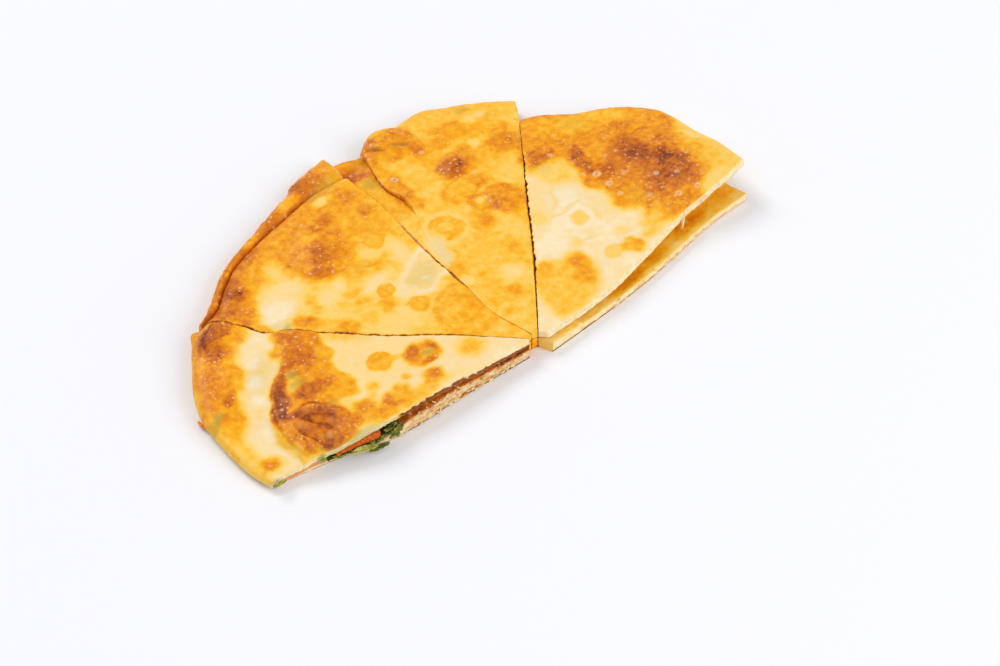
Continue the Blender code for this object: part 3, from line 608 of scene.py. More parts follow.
# %% Slice 2, gold, with a rolled ridge behind it
SLICE_2 = (
    (-38, 58, 26, 13, 0.31, -42), (-34, 110, 28, 10, 0.58, 8), (-8, 68, 4, 16, 0.2),
    Area(((-73, 76), (-72.5, 80.5), (-69.5, 84.5), (-66, 89.5), (-59, 91.6), (-52, 90.4), (-47.5, 87),
        (-49.5, 81.5), (-54, 77.8), (-59, 73.4), (-62, 69), (-67.5, 69.4)), 0.2, 2.2),
    (-64.5, 78.5, 8, 5.6, 0.05, 40, 0.7), (-55, 87.5, 5, 3, 0.17), (-46.5, 71.5, 8, 4, 0.2, 10),
    (-38.5, 74.5, 4, 2.4, 0.2, 20), (-36, 42, 10, 8, 0.27, -40, 0.7), (-26, 66.5, 8, 3, 0.15, 15),
    (-22, 56, 3.6, 7, 0.14, 20, 0.7), (-44, 57, 5, 4, 0.36), (-18, 80, 9, 3.4, 0.3, 0, 0.9),
    (-52, 102, 9, 6, 0.55, 30), (-56, 109, 8, 2.8, 0.76, 27), (-10, 112, 13, 10, 0.57), (-8, 94, 9, 9, 0.5),
    (-13, 116.5, 4, 2, 0.26), (-52, 97, 4, 6, 0.32, -20, 0.9),
    # Orange fields.
    Area(((-47, 102), (-38, 106), (-29, 108.5), (-20, 110.5), (-14, 108), (-17, 102), (-15.5, 96),
        (-19.5, 88.5), (-24, 80.5), (-34, 78), (-44, 83), (-48.5, 92)), 0.58, 1.8, 0.15),
    (-60, 103, 6, 3, 0.56, 30), (-31, 102, 4, 2.4, 0.47, 30), (-42.8, 97, 3, 5, 0.62, -20),
    (-33.5, 91.6, 4.6, 7.4, 0.8, -28, 0.7, 0.3), (-27, 89.4, 4, 4, 0.69),
    (-39.4, 84.6, 5.4, 1.9, 0.76, -26, 0.7, 0.2), (-20.6, 106, 4.6, 3.4, 0.74, 30, 0.7, 0.25),
    (-26, 104.5, 3.4, 2.6, 0.72, 20), (-23, 97, 3, 3, 0.63),
    Area(((-79.5, 86), (-80.5, 91), (-79, 96), (-71, 104), (-62, 107.5), (-59, 102), (-62, 94.5), (-67, 90),
        (-70.5, 84.5), (-73.6, 79.5), (-77, 80)), 0.6, 1.6), (-71.6, 97.4, 5.6, 5, 0.87, 30, 0.7, 0.35),
    (-68.4, 102, 5, 2.6, 0.8, 30), (-75, 88, 3, 4, 0.67), (-62.5, 98, 2.6, 3.6, 0.55, -20),
    (-77.6, 83.5, 1.8, 3.6, 0.7, 25), (-74, 75, 2, 4, 0.5, 25), (-82, 91.5, 6, 5, 0.78, 20),
    # Spots and rings.
    (-3.6, 112.3, 3.8, 3.6, 0.63, 0, 0.7, 0.2), (-3, 100, 3.6, 3.8, 0.63, 0, 0.7, 0.2),
    (-13, 95.6, 3, 2.5, 0.57, 15, 0.7), (-9.5, 101, 2.2, 2, 0.54),
    (-12.2, 84.2, 4.8, 4.4, 0.45, 0, 0.25, 0.3, 0.07), (-4.4, 89, 2.6, 6, 0.52),
    (-26.6, 75.6, 6.4, 3.8, 0.46, 10, 0.7, 0.15), (-31, 79.4, 4.4, 2.6, 0.5),
    (-20, 73.4, 3.4, 3.4, 0.46, 0, 0.7), (-37, 67, 4.4, 2.4, 0.45, 0, 0.6),
    (-43.4, 64, 2.6, 2.4, 0.4, 0, 0.6), (-51, 74.4, 3.2, 2.8, 0.43, 0, 0.6),
    (-59.5, 66.5, 3.6, 6, 0.62, 38, 0.8, 0.2), (-53, 58.5, 2.4, 6, 0.56, 42),
    (-52, 69.5, 2.6, 2.6, 0.44, 0, 0.7), (-50, 54, 5.2, 4.2, 0.55, -40, 0.6, 0.2),
    (-54, 60, 3, 4, 0.42, 40), (-26.7, 59.6, 3.9, 3.7, 0.48, 0, 0.3, 0.25, 0.05),
    (-31, 53.6, 4.2, 4, 0.5, 0, 0.6, 0.2), (-37, 60.6, 4, 2.8, 0.47), (-40, 52.4, 4.4, 3.2, 0.42),
    (-21.8, 46, 4.8, 4.5, 0.48, 0, 0.25, 0.3, 0.05), (-28, 46, 2, 4, 0.24, 10), (-30, 35, 5, 3, 0.4, -40),
    Area(((-23, 33), (-19, 39.5), (-10.5, 45), (-1, 43.5), (2, 30), (-4, 20), (-18, 20)), 0.48, 1.0, 0.25,
        0.04), (-5, 33, 4, 6, 0.55), (-15, 34, 3, 3, 0.44),
    # A pane of dough so thin that it is clear.
    Area(((-20.5, 58.6), (-16.5, 63), (-11, 66), (2, 69.6), (2, 52), (-6.8, 50.6), (-13, 47.6), (-19, 49.8),
        (-17.6, 53.6)), 0.09, 0.8, 0.2),
    Area(((-18.6, 58.2), (-15.4, 61.4), (-10.6, 64), (-1.4, 66.6), (-1.4, 55), (-7, 52.6), (-13, 49.8),
        (-16.6, 51.6), (-15.6, 54.6)), 0.2, 0.45, -0.25), (-9.8, 55.8, 1.7, 1.4, 0.03, 0, 0.8, 0.3),
)
CREASES_2 = (
    (((-45, 86), (-41, 83), (-35, 80.6), (-28, 81)), 0.8, 0.35, 0.68),
    (((-76, 99), (-72, 101), (-66, 101)), 0.6, 0.4, 0.9),
    (((-36, 98), (-31, 93), (-31, 87)), 0.6, 0.25, 0.84),
    (((-26, 78), (-22, 74), (-18, 74.5)), 0.4, 0.25, 0.6),
)
GREEN_2 = (
    (-67, 69.6, 2.2, 1.3, 0.9, 0, 0.9), (-10, 58, 8, 5.6, 0.3, 22, 0.5), (-7, 121.5, 9, 1.6, 0.45, 4),
    (-69, 73, 3, 2, 0.25, 0, 0.9), (-26.5, 75.5, 5, 3, 0.16, 10, 0.9),
)

# %% Slice 3, with the fold on its left
SLICE_3 = (
    (33, 108, 10, 7, 0.5, 20), (16, 106, 4, 7, 0.62), (17.5, 122, 3, 6, 0.62, -20),
    (52, 126, 18, 7, 0.43, -14), (76, 112, 9, 5, 0.42, -30), (26, 106, 5, 6, 0.38), (57, 93, 8, 8, 0.47),
    (60, 110, 11, 6, 0.48, -20), (63, 114, 3, 2, 0.24), (70, 115, 2, 1.6, 0.24), (56, 103, 2.4, 1.8, 0.28),
    (32, 53.5, 6, 6, 0.34), (55, 80, 6, 6, 0.36),
    Area(((17, 129), (24, 133.5), (33, 132.6), (40, 129), (40, 119.4), (37.4, 112.4), (34, 110.6),
        (32, 116), (27, 119), (21.4, 122.8)), 0.6, 0.9, 0.3), (27, 117.5, 5, 2.6, 0.61, -10),
    (35.4, 114.6, 2.6, 4.6, 0.68, 0, 0.7), (30, 128, 4, 2.6, 0.55, 20), (23, 129.6, 3, 2.4, 0.72, 20),
    (33, 133.6, 7, 3, 0.4), (35.5, 126, 2.6, 4, 0.68), (53, 115.5, 9, 3.8, 0.55, -20, 0.7, 0.15),
    (45.6, 112, 6, 3.6, 0.56, 10, 0.7, 0.15), (60.5, 107.6, 5, 3, 0.52, -30, 0.7),
    (65.4, 121, 3, 1.8, 0.54, -20), (49.6, 103, 3.6, 3.6, 0.57), (42, 96.4, 9, 6.6, 0.67, 10, 0.6, 0.3),
    (39, 96.2, 5.2, 5, 0.86, 0, 0.7, 0.2), (66.5, 95.6, 6.6, 6, 0.67, 20, 0.7, 0.25),
    (73.4, 103, 3, 2.8, 0.54, 0, 0.7), (69, 103, 3, 2.6, 0.56), (70.4, 89.5, 3.4, 4, 0.64, -40),
    (66, 81.6, 3, 6, 0.63, -38), (15.4, 97.4, 3, 4.6, 0.62, -8, 0.7, 0.2), (14.4, 90, 2.8, 3.8, 0.58),
    (13, 112, 2.6, 4, 0.5), (33, 84, 9.4, 6.4, 0.47, 5, 0.22, 0.3, 0.09),
    (42.5, 84.4, 3.6, 4.2, 0.57, 0, 0.7), (34.6, 73.6, 5.6, 5, 0.5, 0, 0.25, 0.3, 0.14),
    (35, 74, 2, 1.8, 0.3, 0, 0.7, 0.2),
    Area(((35, 65.4), (37.4, 73.6), (41.5, 78), (48.6, 76), (52.4, 68), (50, 63), (44.6, 59), (38.4, 60)),
        0.6, 0.9, 0.35), (39, 68, 3.4, 5, 0.68, 20), (27, 65.5, 6.6, 6, 0.5, 20, 0.7),
    (28.2, 64.2, 3.4, 3, 0.6, 0, 0.7, 0.15), (13.6, 71, 9.8, 9, 0.28, 0, 0.25),
    (13.6, 71, 7.6, 7, 0.46, 0, 0.22, 0.3, 0.06), (13.6, 71, 4, 3.6, 0.4, 0, 0.6, 0, 0.06),
    (4, 64, 3.6, 9, 0.15, -14), (3, 56.5, 4, 4, 0.17),
    Area(((-2, 51.6), (6.4, 57.6), (14.6, 60.8), (24, 58.6), (29.4, 52.4), (29.4, 45), (25, 38), (16, 41),
        (8, 40), (-2, 42)), 0.41, 1.0, 0.2, 0.04), (26, 45.4, 3.4, 5, 0.5, 10), (2.4, 50, 3.6, 4, 0.5),
    (6.4, 34, 6, 7, 0.43, 0, 0.7), (16.7, 35, 5, 4, 0.2), (10, 27, 3, 3, 0.55), (0.5, 43, 2, 3, 0.25),
    (21, 29, 4, 3, 0.34, 40),
)
CREASES_3 = (
    (((18.6, 128.4), (21.5, 125), (26, 122)), 0.8, 0.9, 0.88),
    (((27, 122.4), (31, 121.4), (36, 120)), 0.7, 0.6, 0.8),
    (((31, 124), (33, 127.6), (32, 131.5)), 0.6, 0.5, 0.76),
    (((24, 127), (28, 126), (31, 128)), 0.5, 0.4, 0.7),
    (((38, 112), (40, 116), (40.6, 121)), 0.6, 0.3, 0.64),
)
GREEN_3 = (
    (65.4, 121.4, 3.4, 1.8, 0.4, 0, 0.9), (32, 121, 4, 1.2, 0.5, -10, 0.9), (4, 62, 3, 9, 0.2, -14),
    (22, 125.5, 2.4, 1.2, 0.4, -50, 0.9), (72, 92.5, 1.6, 5, 0.35, -40, 0.9),
    (72, 112, 6, 4, 0.12, -30, 0.9),
)

# %% Slice 4, cream at its middle with a dark crisp cap
SLICE_4 = (
    Area(((63.5, 81), (66.6, 73.6), (73.6, 70.5), (75.4, 62), (73, 54.5), (74.4, 45.6), (72, 34.8),
        (78.6, 27.6), (73, 18.6), (80, 13.8), (93.5, 11), (107, 13), (136, 10), (136, 66), (100, 108),
        (76, 108)), 0.6, 2.4, 0.25), (96, 38, 14, 24, 0.7, 0, 0.9),
    Area(((109, 15), (112.4, 27), (117.6, 42), (122, 52), (134, 56), (134, 8), (109, 8)), 0.4, 2.2),
    Area(((120, 14), (121.6, 22), (124, 34), (126, 46), (127, 58), (136, 58), (136, 8), (120, 8)), 0.28,
        1.4), (108, 15.5, 7, 3.4, 0.27, 10), (123, 44, 1.6, 4, 0.24), (121, 20, 3, 4, 0.34),
    (117, 35, 2.4, 4, 0.5), (84, 91, 8, 6, 0.52, -40), (94, 84, 8, 5, 0.46, -36),
    (104, 85, 6, 3, 0.44, -36), (110.5, 76.5, 8, 4.6, 0.45, -36), (117, 66.5, 5, 5, 0.55),
    (121.5, 60, 4, 4.6, 0.62), (106, 68, 6, 5, 0.66), (88, 65.5, 4.6, 5, 0.56), (93, 71.5, 6, 4, 0.6, -20),
    # The long spot at (50, 57) is painted shade along the cut to slice 3.
    (67, 76, 8, 5, 0.5, 20), (67.5, 65, 7, 8, 0.42, 0, 0.9), (50, 57, 14, 3.4, 0.18, 49, 0.9),
    (70.5, 78, 6.6, 4.4, 0.72, 10, 0.6, 0.3, 0.05), (69, 76.6, 3.4, 2.2, 0.8), (76, 82.5, 5, 3, 0.63, 10),
    (82, 68.6, 3.2, 6, 0.82, -24, 0.7, 0.3), (79.6, 60, 3, 5, 0.82, -10), (74.6, 52.5, 3, 5, 0.62),
    (85.6, 54, 4.4, 3.4, 0.86, 0, 0.7, 0.2), (81.6, 51.4, 3.4, 2.6, 0.78), (93.5, 54.5, 5, 5, 0.73),
    (91, 38.5, 6, 6, 0.67), (97, 32, 8, 7, 0.82, 20), (102, 26, 6, 5, 0.79), (84.5, 22, 6, 4, 0.57),
    (93, 19.5, 7, 4, 0.64), (82, 34, 3.6, 5, 0.54), (101, 59, 6, 5, 0.82, -10, 0.7, 0.2),
    (99.6, 51.6, 6.6, 5, 0.92, 0, 0.7, 0.2), (111, 49.4, 5, 4, 0.68, 10, 0.8, 0.2),
    (103.4, 39, 7, 9.5, 0.93, -8, 0.7), (104, 37, 4, 5, 1), (104, 33.6, 5, 5.4, 0.86), (98, 42, 3, 5, 0.8),
    # Gold spots on the cream.
    Area(((14, 14), (17, 26), (27, 32), (36, 28), (43, 26.6), (44, 18), (40, 10), (30, 4), (14, 4)), 0.42,
        1.6), (39.6, 22, 3.6, 5, 0.6, 0, 0.7, 0.2), (36, 14.8, 4.6, 4, 0.57, 0, 0.7),
    (28, 28.6, 4, 2.6, 0.52, 40), (24, 18, 4, 4, 0.4), (54, 17, 6, 5.6, 0.1, 0, 0.3),
    (54, 17, 4.2, 4, 0.31, 0, 0.25, 0.25, 0.05), (61.4, 14, 4.6, 5, 0.5, 0, 0.4, 0.3),
    (56.8, 40.6, 6.4, 6, 0.04, 0, 0.25, 0.2), (56.8, 40.6, 4, 3.8, 0.31, 0, 0.3, 0.2, 0.03),
    (77.6, 19.6, 5, 3, 0.38), (71.5, 14.4, 4, 3, 0.4), (67, 68, 4.6, 4.6, 0.3),
    (44, 52, 3.6, 4, 0.3, 40, 0.9), (40, 36, 6, 4, 0.04, 40, 0.9), (62, 55, 7, 6, 0.04, 0, 1),
    (69, 40, 3, 10, 0.14, 0, 0.9), (47, 30.5, 3, 3, 0.24), (64.6, 23.6, 3, 2.4, 0.22),
    (49, 43, 5, 5, 0.05, 0, 0.3, 0.2), (57, 64, 4, 4, 0.16),
)
CREASES_4 = (
    (((108, 50), (112, 53), (117, 52)), 0.7, 0.5, 0.85),
    (((104, 60), (110, 62), (116, 60)), 0.7, 0.45, 0.8), (((102, 67), (108, 70), (115, 68)), 0.6, 0.4, 0.7),
    (((113, 42), (115, 47), (119, 50)), 0.6, 0.4, 0.7),
    (((44, 44), (49, 48.6), (55, 47), (61, 49), (68, 46)), 0.7, 0.3, 0.2),
    (((52, 50), (57, 54), (60, 62)), 0.7, 0.3, 0.2), (((62, 34), (65, 40), (64, 47)), 0.7, 0.3, 0.2),
    (((47, 36), (50, 31), (57, 28)), 0.7, 0.25, 0.2),
)
GREEN_4 = (
    # The wide spot at (62, 54) greys the cream as painted shade in its wrinkles.
    (67, 72, 3, 4, 0.25, 0, 0.9), (95, 84, 6, 4, 0.2, -36, 0.9), (62, 54, 8, 7, 0.1, 0, 0.9),
    (82, 34, 3, 5, 0.16, 0, 0.9), (121, 26, 5, 9, 0.08, 0, 0.9),
)

# %% Gather the looks of the top sheets
RINGS_3 = ((17.2, 107, 1.7), (36, 112, 1.1), (44, 88.5, 1.2))
RINGS_4 = (
    (79.8, 54.2, 1.9), (79.5, 46.6, 1.7), (78.6, 39.4, 1.2), (93.6, 21.6, 1.6), (101, 18.4, 1.4),
    (96, 36.6, 1.3), (73.6, 75.4, 1.2), (88, 47, 1.1), (90, 60, 1.0), (84, 84, 1.0), (75.6, 57.5, 1.0),
    (86, 30, 1.2), (101.5, 30.5, 1.1),
)
look_1 = Look(0.11, ((0, 1, 0.3), (0.3, 1.5, 0.42), (0.6, 2, 0.5), (1, 2, 0.6)),
              SLICE_1, CREASES_1, GREEN_1, 1.3, (), ((BLISTER_EDGE, 0.9, 5.0),), 60)
look_2 = Look(0.41, ((0, 3, 0.78), (0.2, 3.4, 0.9), (0.6, 3.2, 0.84), (0.8, 1.2, 0.6), (1, 0.6, 0.45)),
              SLICE_2, CREASES_2, GREEN_2, 2.3)
look_3 = Look(0.4, ((0, 1.5, 0.7), (0.3, 1.5, 0.5), (1, 1.5, 0.42)),
              SLICE_3, CREASES_3, GREEN_3, 3.3, RINGS_3)
look_4 = Look(0.09, ((0, 1, 0.5), (0.5, 2, 0.6), (0.8, 1, 0.42), (1, 1, 0.3)),
              SLICE_4, CREASES_4, GREEN_4, 4.3, RINGS_4, bubbles=90)
# %% [markdown]
# ## The top sheets
#
# The painted marks are laid over each grid, the blisters, creases and bubbles lift it, and the walls are
# torn in layers. A knife drags the skin down a little at a cut, and the softer crumb behind it stands
# back, so the lower part of each cut face leans away into shade. Where two slices still touch, the cut is
# painted dark as the shade in the narrow crack. The fold of slice 3 was never cut, so its edge is round and
# browned, and the skin along it is painted darker as the shade of the fold.


# %% Helpers for sheets
def torn_layers(x, y, depth, seed):
    """Thin layers in a cut face, each torn along its length, from about -1 to 1."""
    along = x + 0.7 * y
    broad = wave(along / 4.0, 7.0 * depth, 1.0, seed)
    return broad + 0.6 * wave(along / 1.3, 11.0 * depth, 1.0, seed + 3.0)


def wall_directions(wedge, across, outward):
    """Unit plan directions across and outward at each point."""
    step = 0.004
    ahead, _ = wedge.at(np.clip(across + step, 0, 1), outward)
    behind, _ = wedge.at(np.clip(across - step, 0, 1), outward)
    out, _ = wedge.at(across, np.clip(outward + step, 0, 1))
    back, _ = wedge.at(across, np.clip(outward - step, 0, 1))
    e, f = ahead - behind, out - back
    return e / np.hypot(*e.T)[:, None], f / np.hypot(*f.T)[:, None]


def sides_of(unit):
    """-1 on the left wall of a block and 1 on the right, the depth, and whether it is between the faces."""
    depth = -unit[:, 2]
    side = 1.0 * (unit[:, 0] > BLOCK_EDGE) - 1.0 * (unit[:, 0] < -BLOCK_EDGE)
    return side, depth, (depth > 0.01) & (depth < 0.99)


def painted_cut_shade(x, y, side_distance, closed):
    """Uneven painted shade along a cut whose two sides still touch, dark in the crack between them."""
    strength = smooth(-0.5, 0.3, wave(x, y, 2.4, 31.0) + 0.7 * wave(x, y, 0.9, 33.0))
    fade = smooth(40.0, 52.0, np.abs(x) + y) * (1.0 - 0.6 * smooth(52.0, 60.0, x))
    return 0.85 * closed * strength * fade * np.exp(-(side_distance / 0.32) ** 2)


def finish_sheet(item, stands_for):
    item.data.shade_smooth()
    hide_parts(stands_for)
    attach(item, "root")
    print(item.name, len(item.data.vertices), "points")
    return item


# %% Shape a top sheet
def top_sheet(name, stands_for, wedge, columns, rows, look, closed, lipped=True, folded=False):
    """Skin of a top sheet. closed is 1 for each of its two cuts that still touches a neighbour."""
    item = block(name, columns, rows, SHEET_RINGS)
    unit = read_points(item)
    across = closer_at_ends(unit[:, 0] + 0.5, True, 0.5)
    outward = closer_at_ends(unit[:, 1] + 0.5, False, 0.4)
    side, depth, wall = sides_of(unit)
    plan, width = wedge.at(across, outward)
    x, y = plan.T
    rim = unit[:, 1] > BLOCK_EDGE
    inward = (1.0 - outward) * wedge.radius
    to_cut = np.minimum(across, 1.0 - across) * width

    bake, green, high, body = browning(look, x, y, across, inward)
    on_skin = (depth < 0.01) & (to_cut > 0.8)
    weight = np.where(on_skin, smooth(0.5, 0.72, bake) * (0.15 + outward), 0.0) + 1e-9
    bake, high = add_bubbles(bake, high, x, y, weight, look.bubbles, 40 + int(look.seed))
    pale, high = add_rings(high, x, y, look.rings)
    shut = np.where(across < 0.5, *closed)
    # Painted shade: a cut that still touches its neighbour is darkened along the crack.
    dark = painted_cut_shade(x, y, to_cut, shut)
    bake = bake + dark * (0.97 - bake)

    drop = rim_drop(body, inward)
    open_fold = smooth(83.0, 92.0, y) if folded else 1.0
    left_edge = (across < 0.5) * (1.0 - open_fold)
    crust_z = high - drop - 0.3 * (1.0 - left_edge) * np.exp(-to_cut / 0.5)
    under = np.minimum(ceiling(x, y, body), body - drop - BASE_THIN)
    if lipped:
        foot = LIP_FOOT + LIP_TUCK * np.maximum(0.0, 1.0 - inward)
        gapes = np.maximum(smooth(*GAPE_HEIGHTS, body), fold_share(x, y))
        under = np.where(inward > LIP_WIDTH, under, foot + (under - foot) * gapes)
    cut_side = side if not folded else np.where(side > 0.0, side, 0.0)
    if folded:
        t = np.clip(1.0 - across * width / 1.9, 0.0, 1.0)
        crust_z = crust_z - 1.2 * open_fold * smooth(106.0, 99.0, y) * (1.0 - np.sqrt(1.0 - t * t))
        folded_bake = 0.5 + 0.35 * smooth(84.0, 87.0, y) * smooth(122.0, 112.0, y)
        bake = np.where((side < 0.0) & wall, folded_bake, bake)
    crust_z = np.maximum(crust_z, under + 0.3)
    z = crust_z + (under - crust_z) * depth

    e, f = wall_directions(wedge, across, outward)
    torn = torn_layers(x, y, depth, look.seed + 20.0)
    ragged = np.where(shut > 0.5, 0.26, 0.6)
    lean = np.where(x < 0.0, 0.4 * smooth(0.5, 1.0, depth), -0.9 * depth * (1.0 - shut))
    push = ragged * torn * np.sin(math.pi * np.clip(depth, 0.06, 0.94)) * wall - lean
    swell = 0.35 * np.sin(math.pi * depth) * rim * wall
    x, y = (plan + e * (push * cut_side)[:, None] + f * swell[:, None]).T
    put_points(item, x, y, z)

    # Painted shade: the skin along the fold's edge is darkened as the shade of the fold.
    if folded:
        fold = 0.5 * smooth(92.0, 98.0, y) * smooth(134.0, 129.0, y) * np.exp(-(across * width / 0.7) ** 2)
        bake = bake + fold * (0.9 - bake)
    # Right of the greens, the lower front cut face and the underside behind it are painted dark: partly
    # sauce, partly painted shade in the gap over the base sheet.
    sauce_and_shade = smooth(0.1, 0.3, depth) * smooth(-69.0, -62.0, x) * (x < 0.0)
    keep(item, "bake", np.where(depth > 0.99, 0.12 + 0.8 * sauce_and_shade, bake))
    keep(item, "green", green)
    at_cut = cut_side != 0.0
    skin_edge = np.where(at_cut & (depth < 0.01), 0.5 * (1.0 - shut), 0.5 * pale)
    keep(item, "cut", np.where(at_cut & wall, 1.0, skin_edge))
    # The walls of a cut that still touches are painted dark as shade in the crack, and the front cut face
    # right of the greens dark as sauce and shade.
    keep(item, "tone", (0.74 + 0.28 * torn - 0.85 * sauce_and_shade) * (1.0 - 0.85 * shut * (side != 0.0)))
    return finish_sheet(item, stands_for)


# %% Make the four top sheets
# Less than nothing on one side and more on the other moves a cut sideways.
RAGGED = ((0.0, 0.45), (1.0, 0.55))     # half width of a cut that lies open, which is mostly raggedness
RAGGED_FRONT = ((0.0, 0.45), (0.15, 1.0), (0.3, 1.5), (0.5, 1.5), (0.6, 1.1), (0.68, 0.5), (1.0, 0.55))
KERF_1_2 = (
    (0.0, 0.14), (0.2, 0.24), (0.4, 0.5), (0.5, 0.8), (0.66, 0.8), (0.74, 0.1), (0.79, 0.1), (0.81, 0.34),
    (0.87, 0.4), (0.9, 0.24), (1.0, 0.3),
)
KERF_2_1 = (
    (0.0, 0.14), (0.2, 0.24), (0.4, 0.0), (0.5, -0.3), (0.66, -0.35), (0.74, 0.08), (0.79, 0.1),
    (0.81, 0.34), (0.87, 0.4), (0.9, 0.24), (1.0, 0.3),
)
KERF_2_3 = (
    (0.0, 0.1), (0.3, 0.04), (0.335, 0.26), (0.385, 0.26), (0.42, 0.14), (0.76, 0.16), (0.8, 0.06),
    (1.0, 0.05),
)
KERF_3_4 = (
    (0.0, 0.2), (0.15, 0.0), (0.3, -0.35), (0.6, -0.4), (0.72, -0.3), (0.77, -0.25), (0.82, 0.0),
    (0.86, 0.1), (0.9, 0.07), (1.0, 0.1),
)
KERF_4_3 = (
    (0.0, 0.2), (0.17, 0.6), (0.33, 1.15), (0.67, 1.2), (0.8, 0.9), (0.86, 0.5), (0.91, 0.3), (0.96, 0.22),
    (1.0, 0.1),
)
FOLD_GAP = ((0.0, 0.1), (0.3, 0.04), (0.32, 0.0), (0.6, 0.0), (0.7, 0.15), (1.0, 0.2))

wedge_1 = Wedge(CUT_FRONT, CUT_1_2, RIM_1, 0, (RAGGED_FRONT, KERF_1_2))
wedge_2 = Wedge(CUT_1_2, CUT_2_3, RIM_2, 0, (KERF_2_1, KERF_2_3))
wedge_3 = Wedge(FOLD_3, CUT_3_4, RIM_3, 0, (FOLD_GAP, KERF_3_4))
wedge_4 = Wedge(CUT_4_3, CUT_RIGHT, RIM_4, 0, (KERF_4_3, RAGGED))
tops = [
    top_sheet("crust_1", "slice_1_top", wedge_1, 180, 215, look_1, (0.0, 1.0)),
    top_sheet("crust_2", "slice_2_top", wedge_2, 180, 215, look_2, (1.0, 1.0), lipped=False),
    top_sheet("crust_3", "slice_3_top", wedge_3, 160, 230, look_3, (0.0, 1.0), folded=True),
    top_sheet("crust_4", "slice_4_top", wedge_4, 190, 215, look_4, (1.0, 0.0)),
]

# %% [markdown]
# ## The base sheets
#
# The bread is hollow: under each top sheet lies a second one, flat on the table. It shows at the cuts,
# where it is torn into layers, in the open gap at the right, in the pocket beside the fold, and as the
# rolled ridge at the back. The same block makes it. The ridge is the block's last rows, laid over an arch
# instead of the flat.

# %% Shape a base sheet
RIDGE_SHARE = 0.55              # of the ridge slice's rows go to the ridge
CORNER_BAND_X = (-93.0, -98.0)  # left of this the front edge of the base is fried, not torn


def strip_share(x, y):
    """1 on the strip of slice 3 level with the sheet beside it, where the fold is pressed flat."""
    return smooth(0.9, 0.3, from_fold(x, y)) * smooth(40.0, 46.0, y) * smooth(93.0, 83.0, y)


def out_to_ridge(plan, across, outward, ridge):
    """Plan points with the last rows laid out to the ridge's outer line, and their share of the way there."""
    outer = through(ridge, across)
    start = GROOVE / np.hypot(*(outer - plan).T)
    share = np.where(outward > 1.0, start + (1.0 - start) * (outward - 1.0), 0.0)
    return plan + (outer - plan) * share[:, None], share


def ridge_height(x, y, top, outward, share):
    """Height of the sheet where its last rows roll up in an arch."""
    arch = np.sqrt(np.maximum(0.0, 1.0 - (2.0 * share - 1.0) ** 2))
    folds = 0.45 * wave(x, y, 4.5, 5.2) + 0.25 * wave(x, y, 1.8, 9.4)
    foot = RIDGE_FOOT + 2.2 * smooth(-22.0, -12.0, x) * smooth(0.55, 0.3, share)
    rolled = foot + (RIDGE_CREST - foot) * arch + ripple(x, y) + folds
    return np.where(outward > 1.0, rolled, top - 1.2 * smooth(0.95, 1.0, outward))


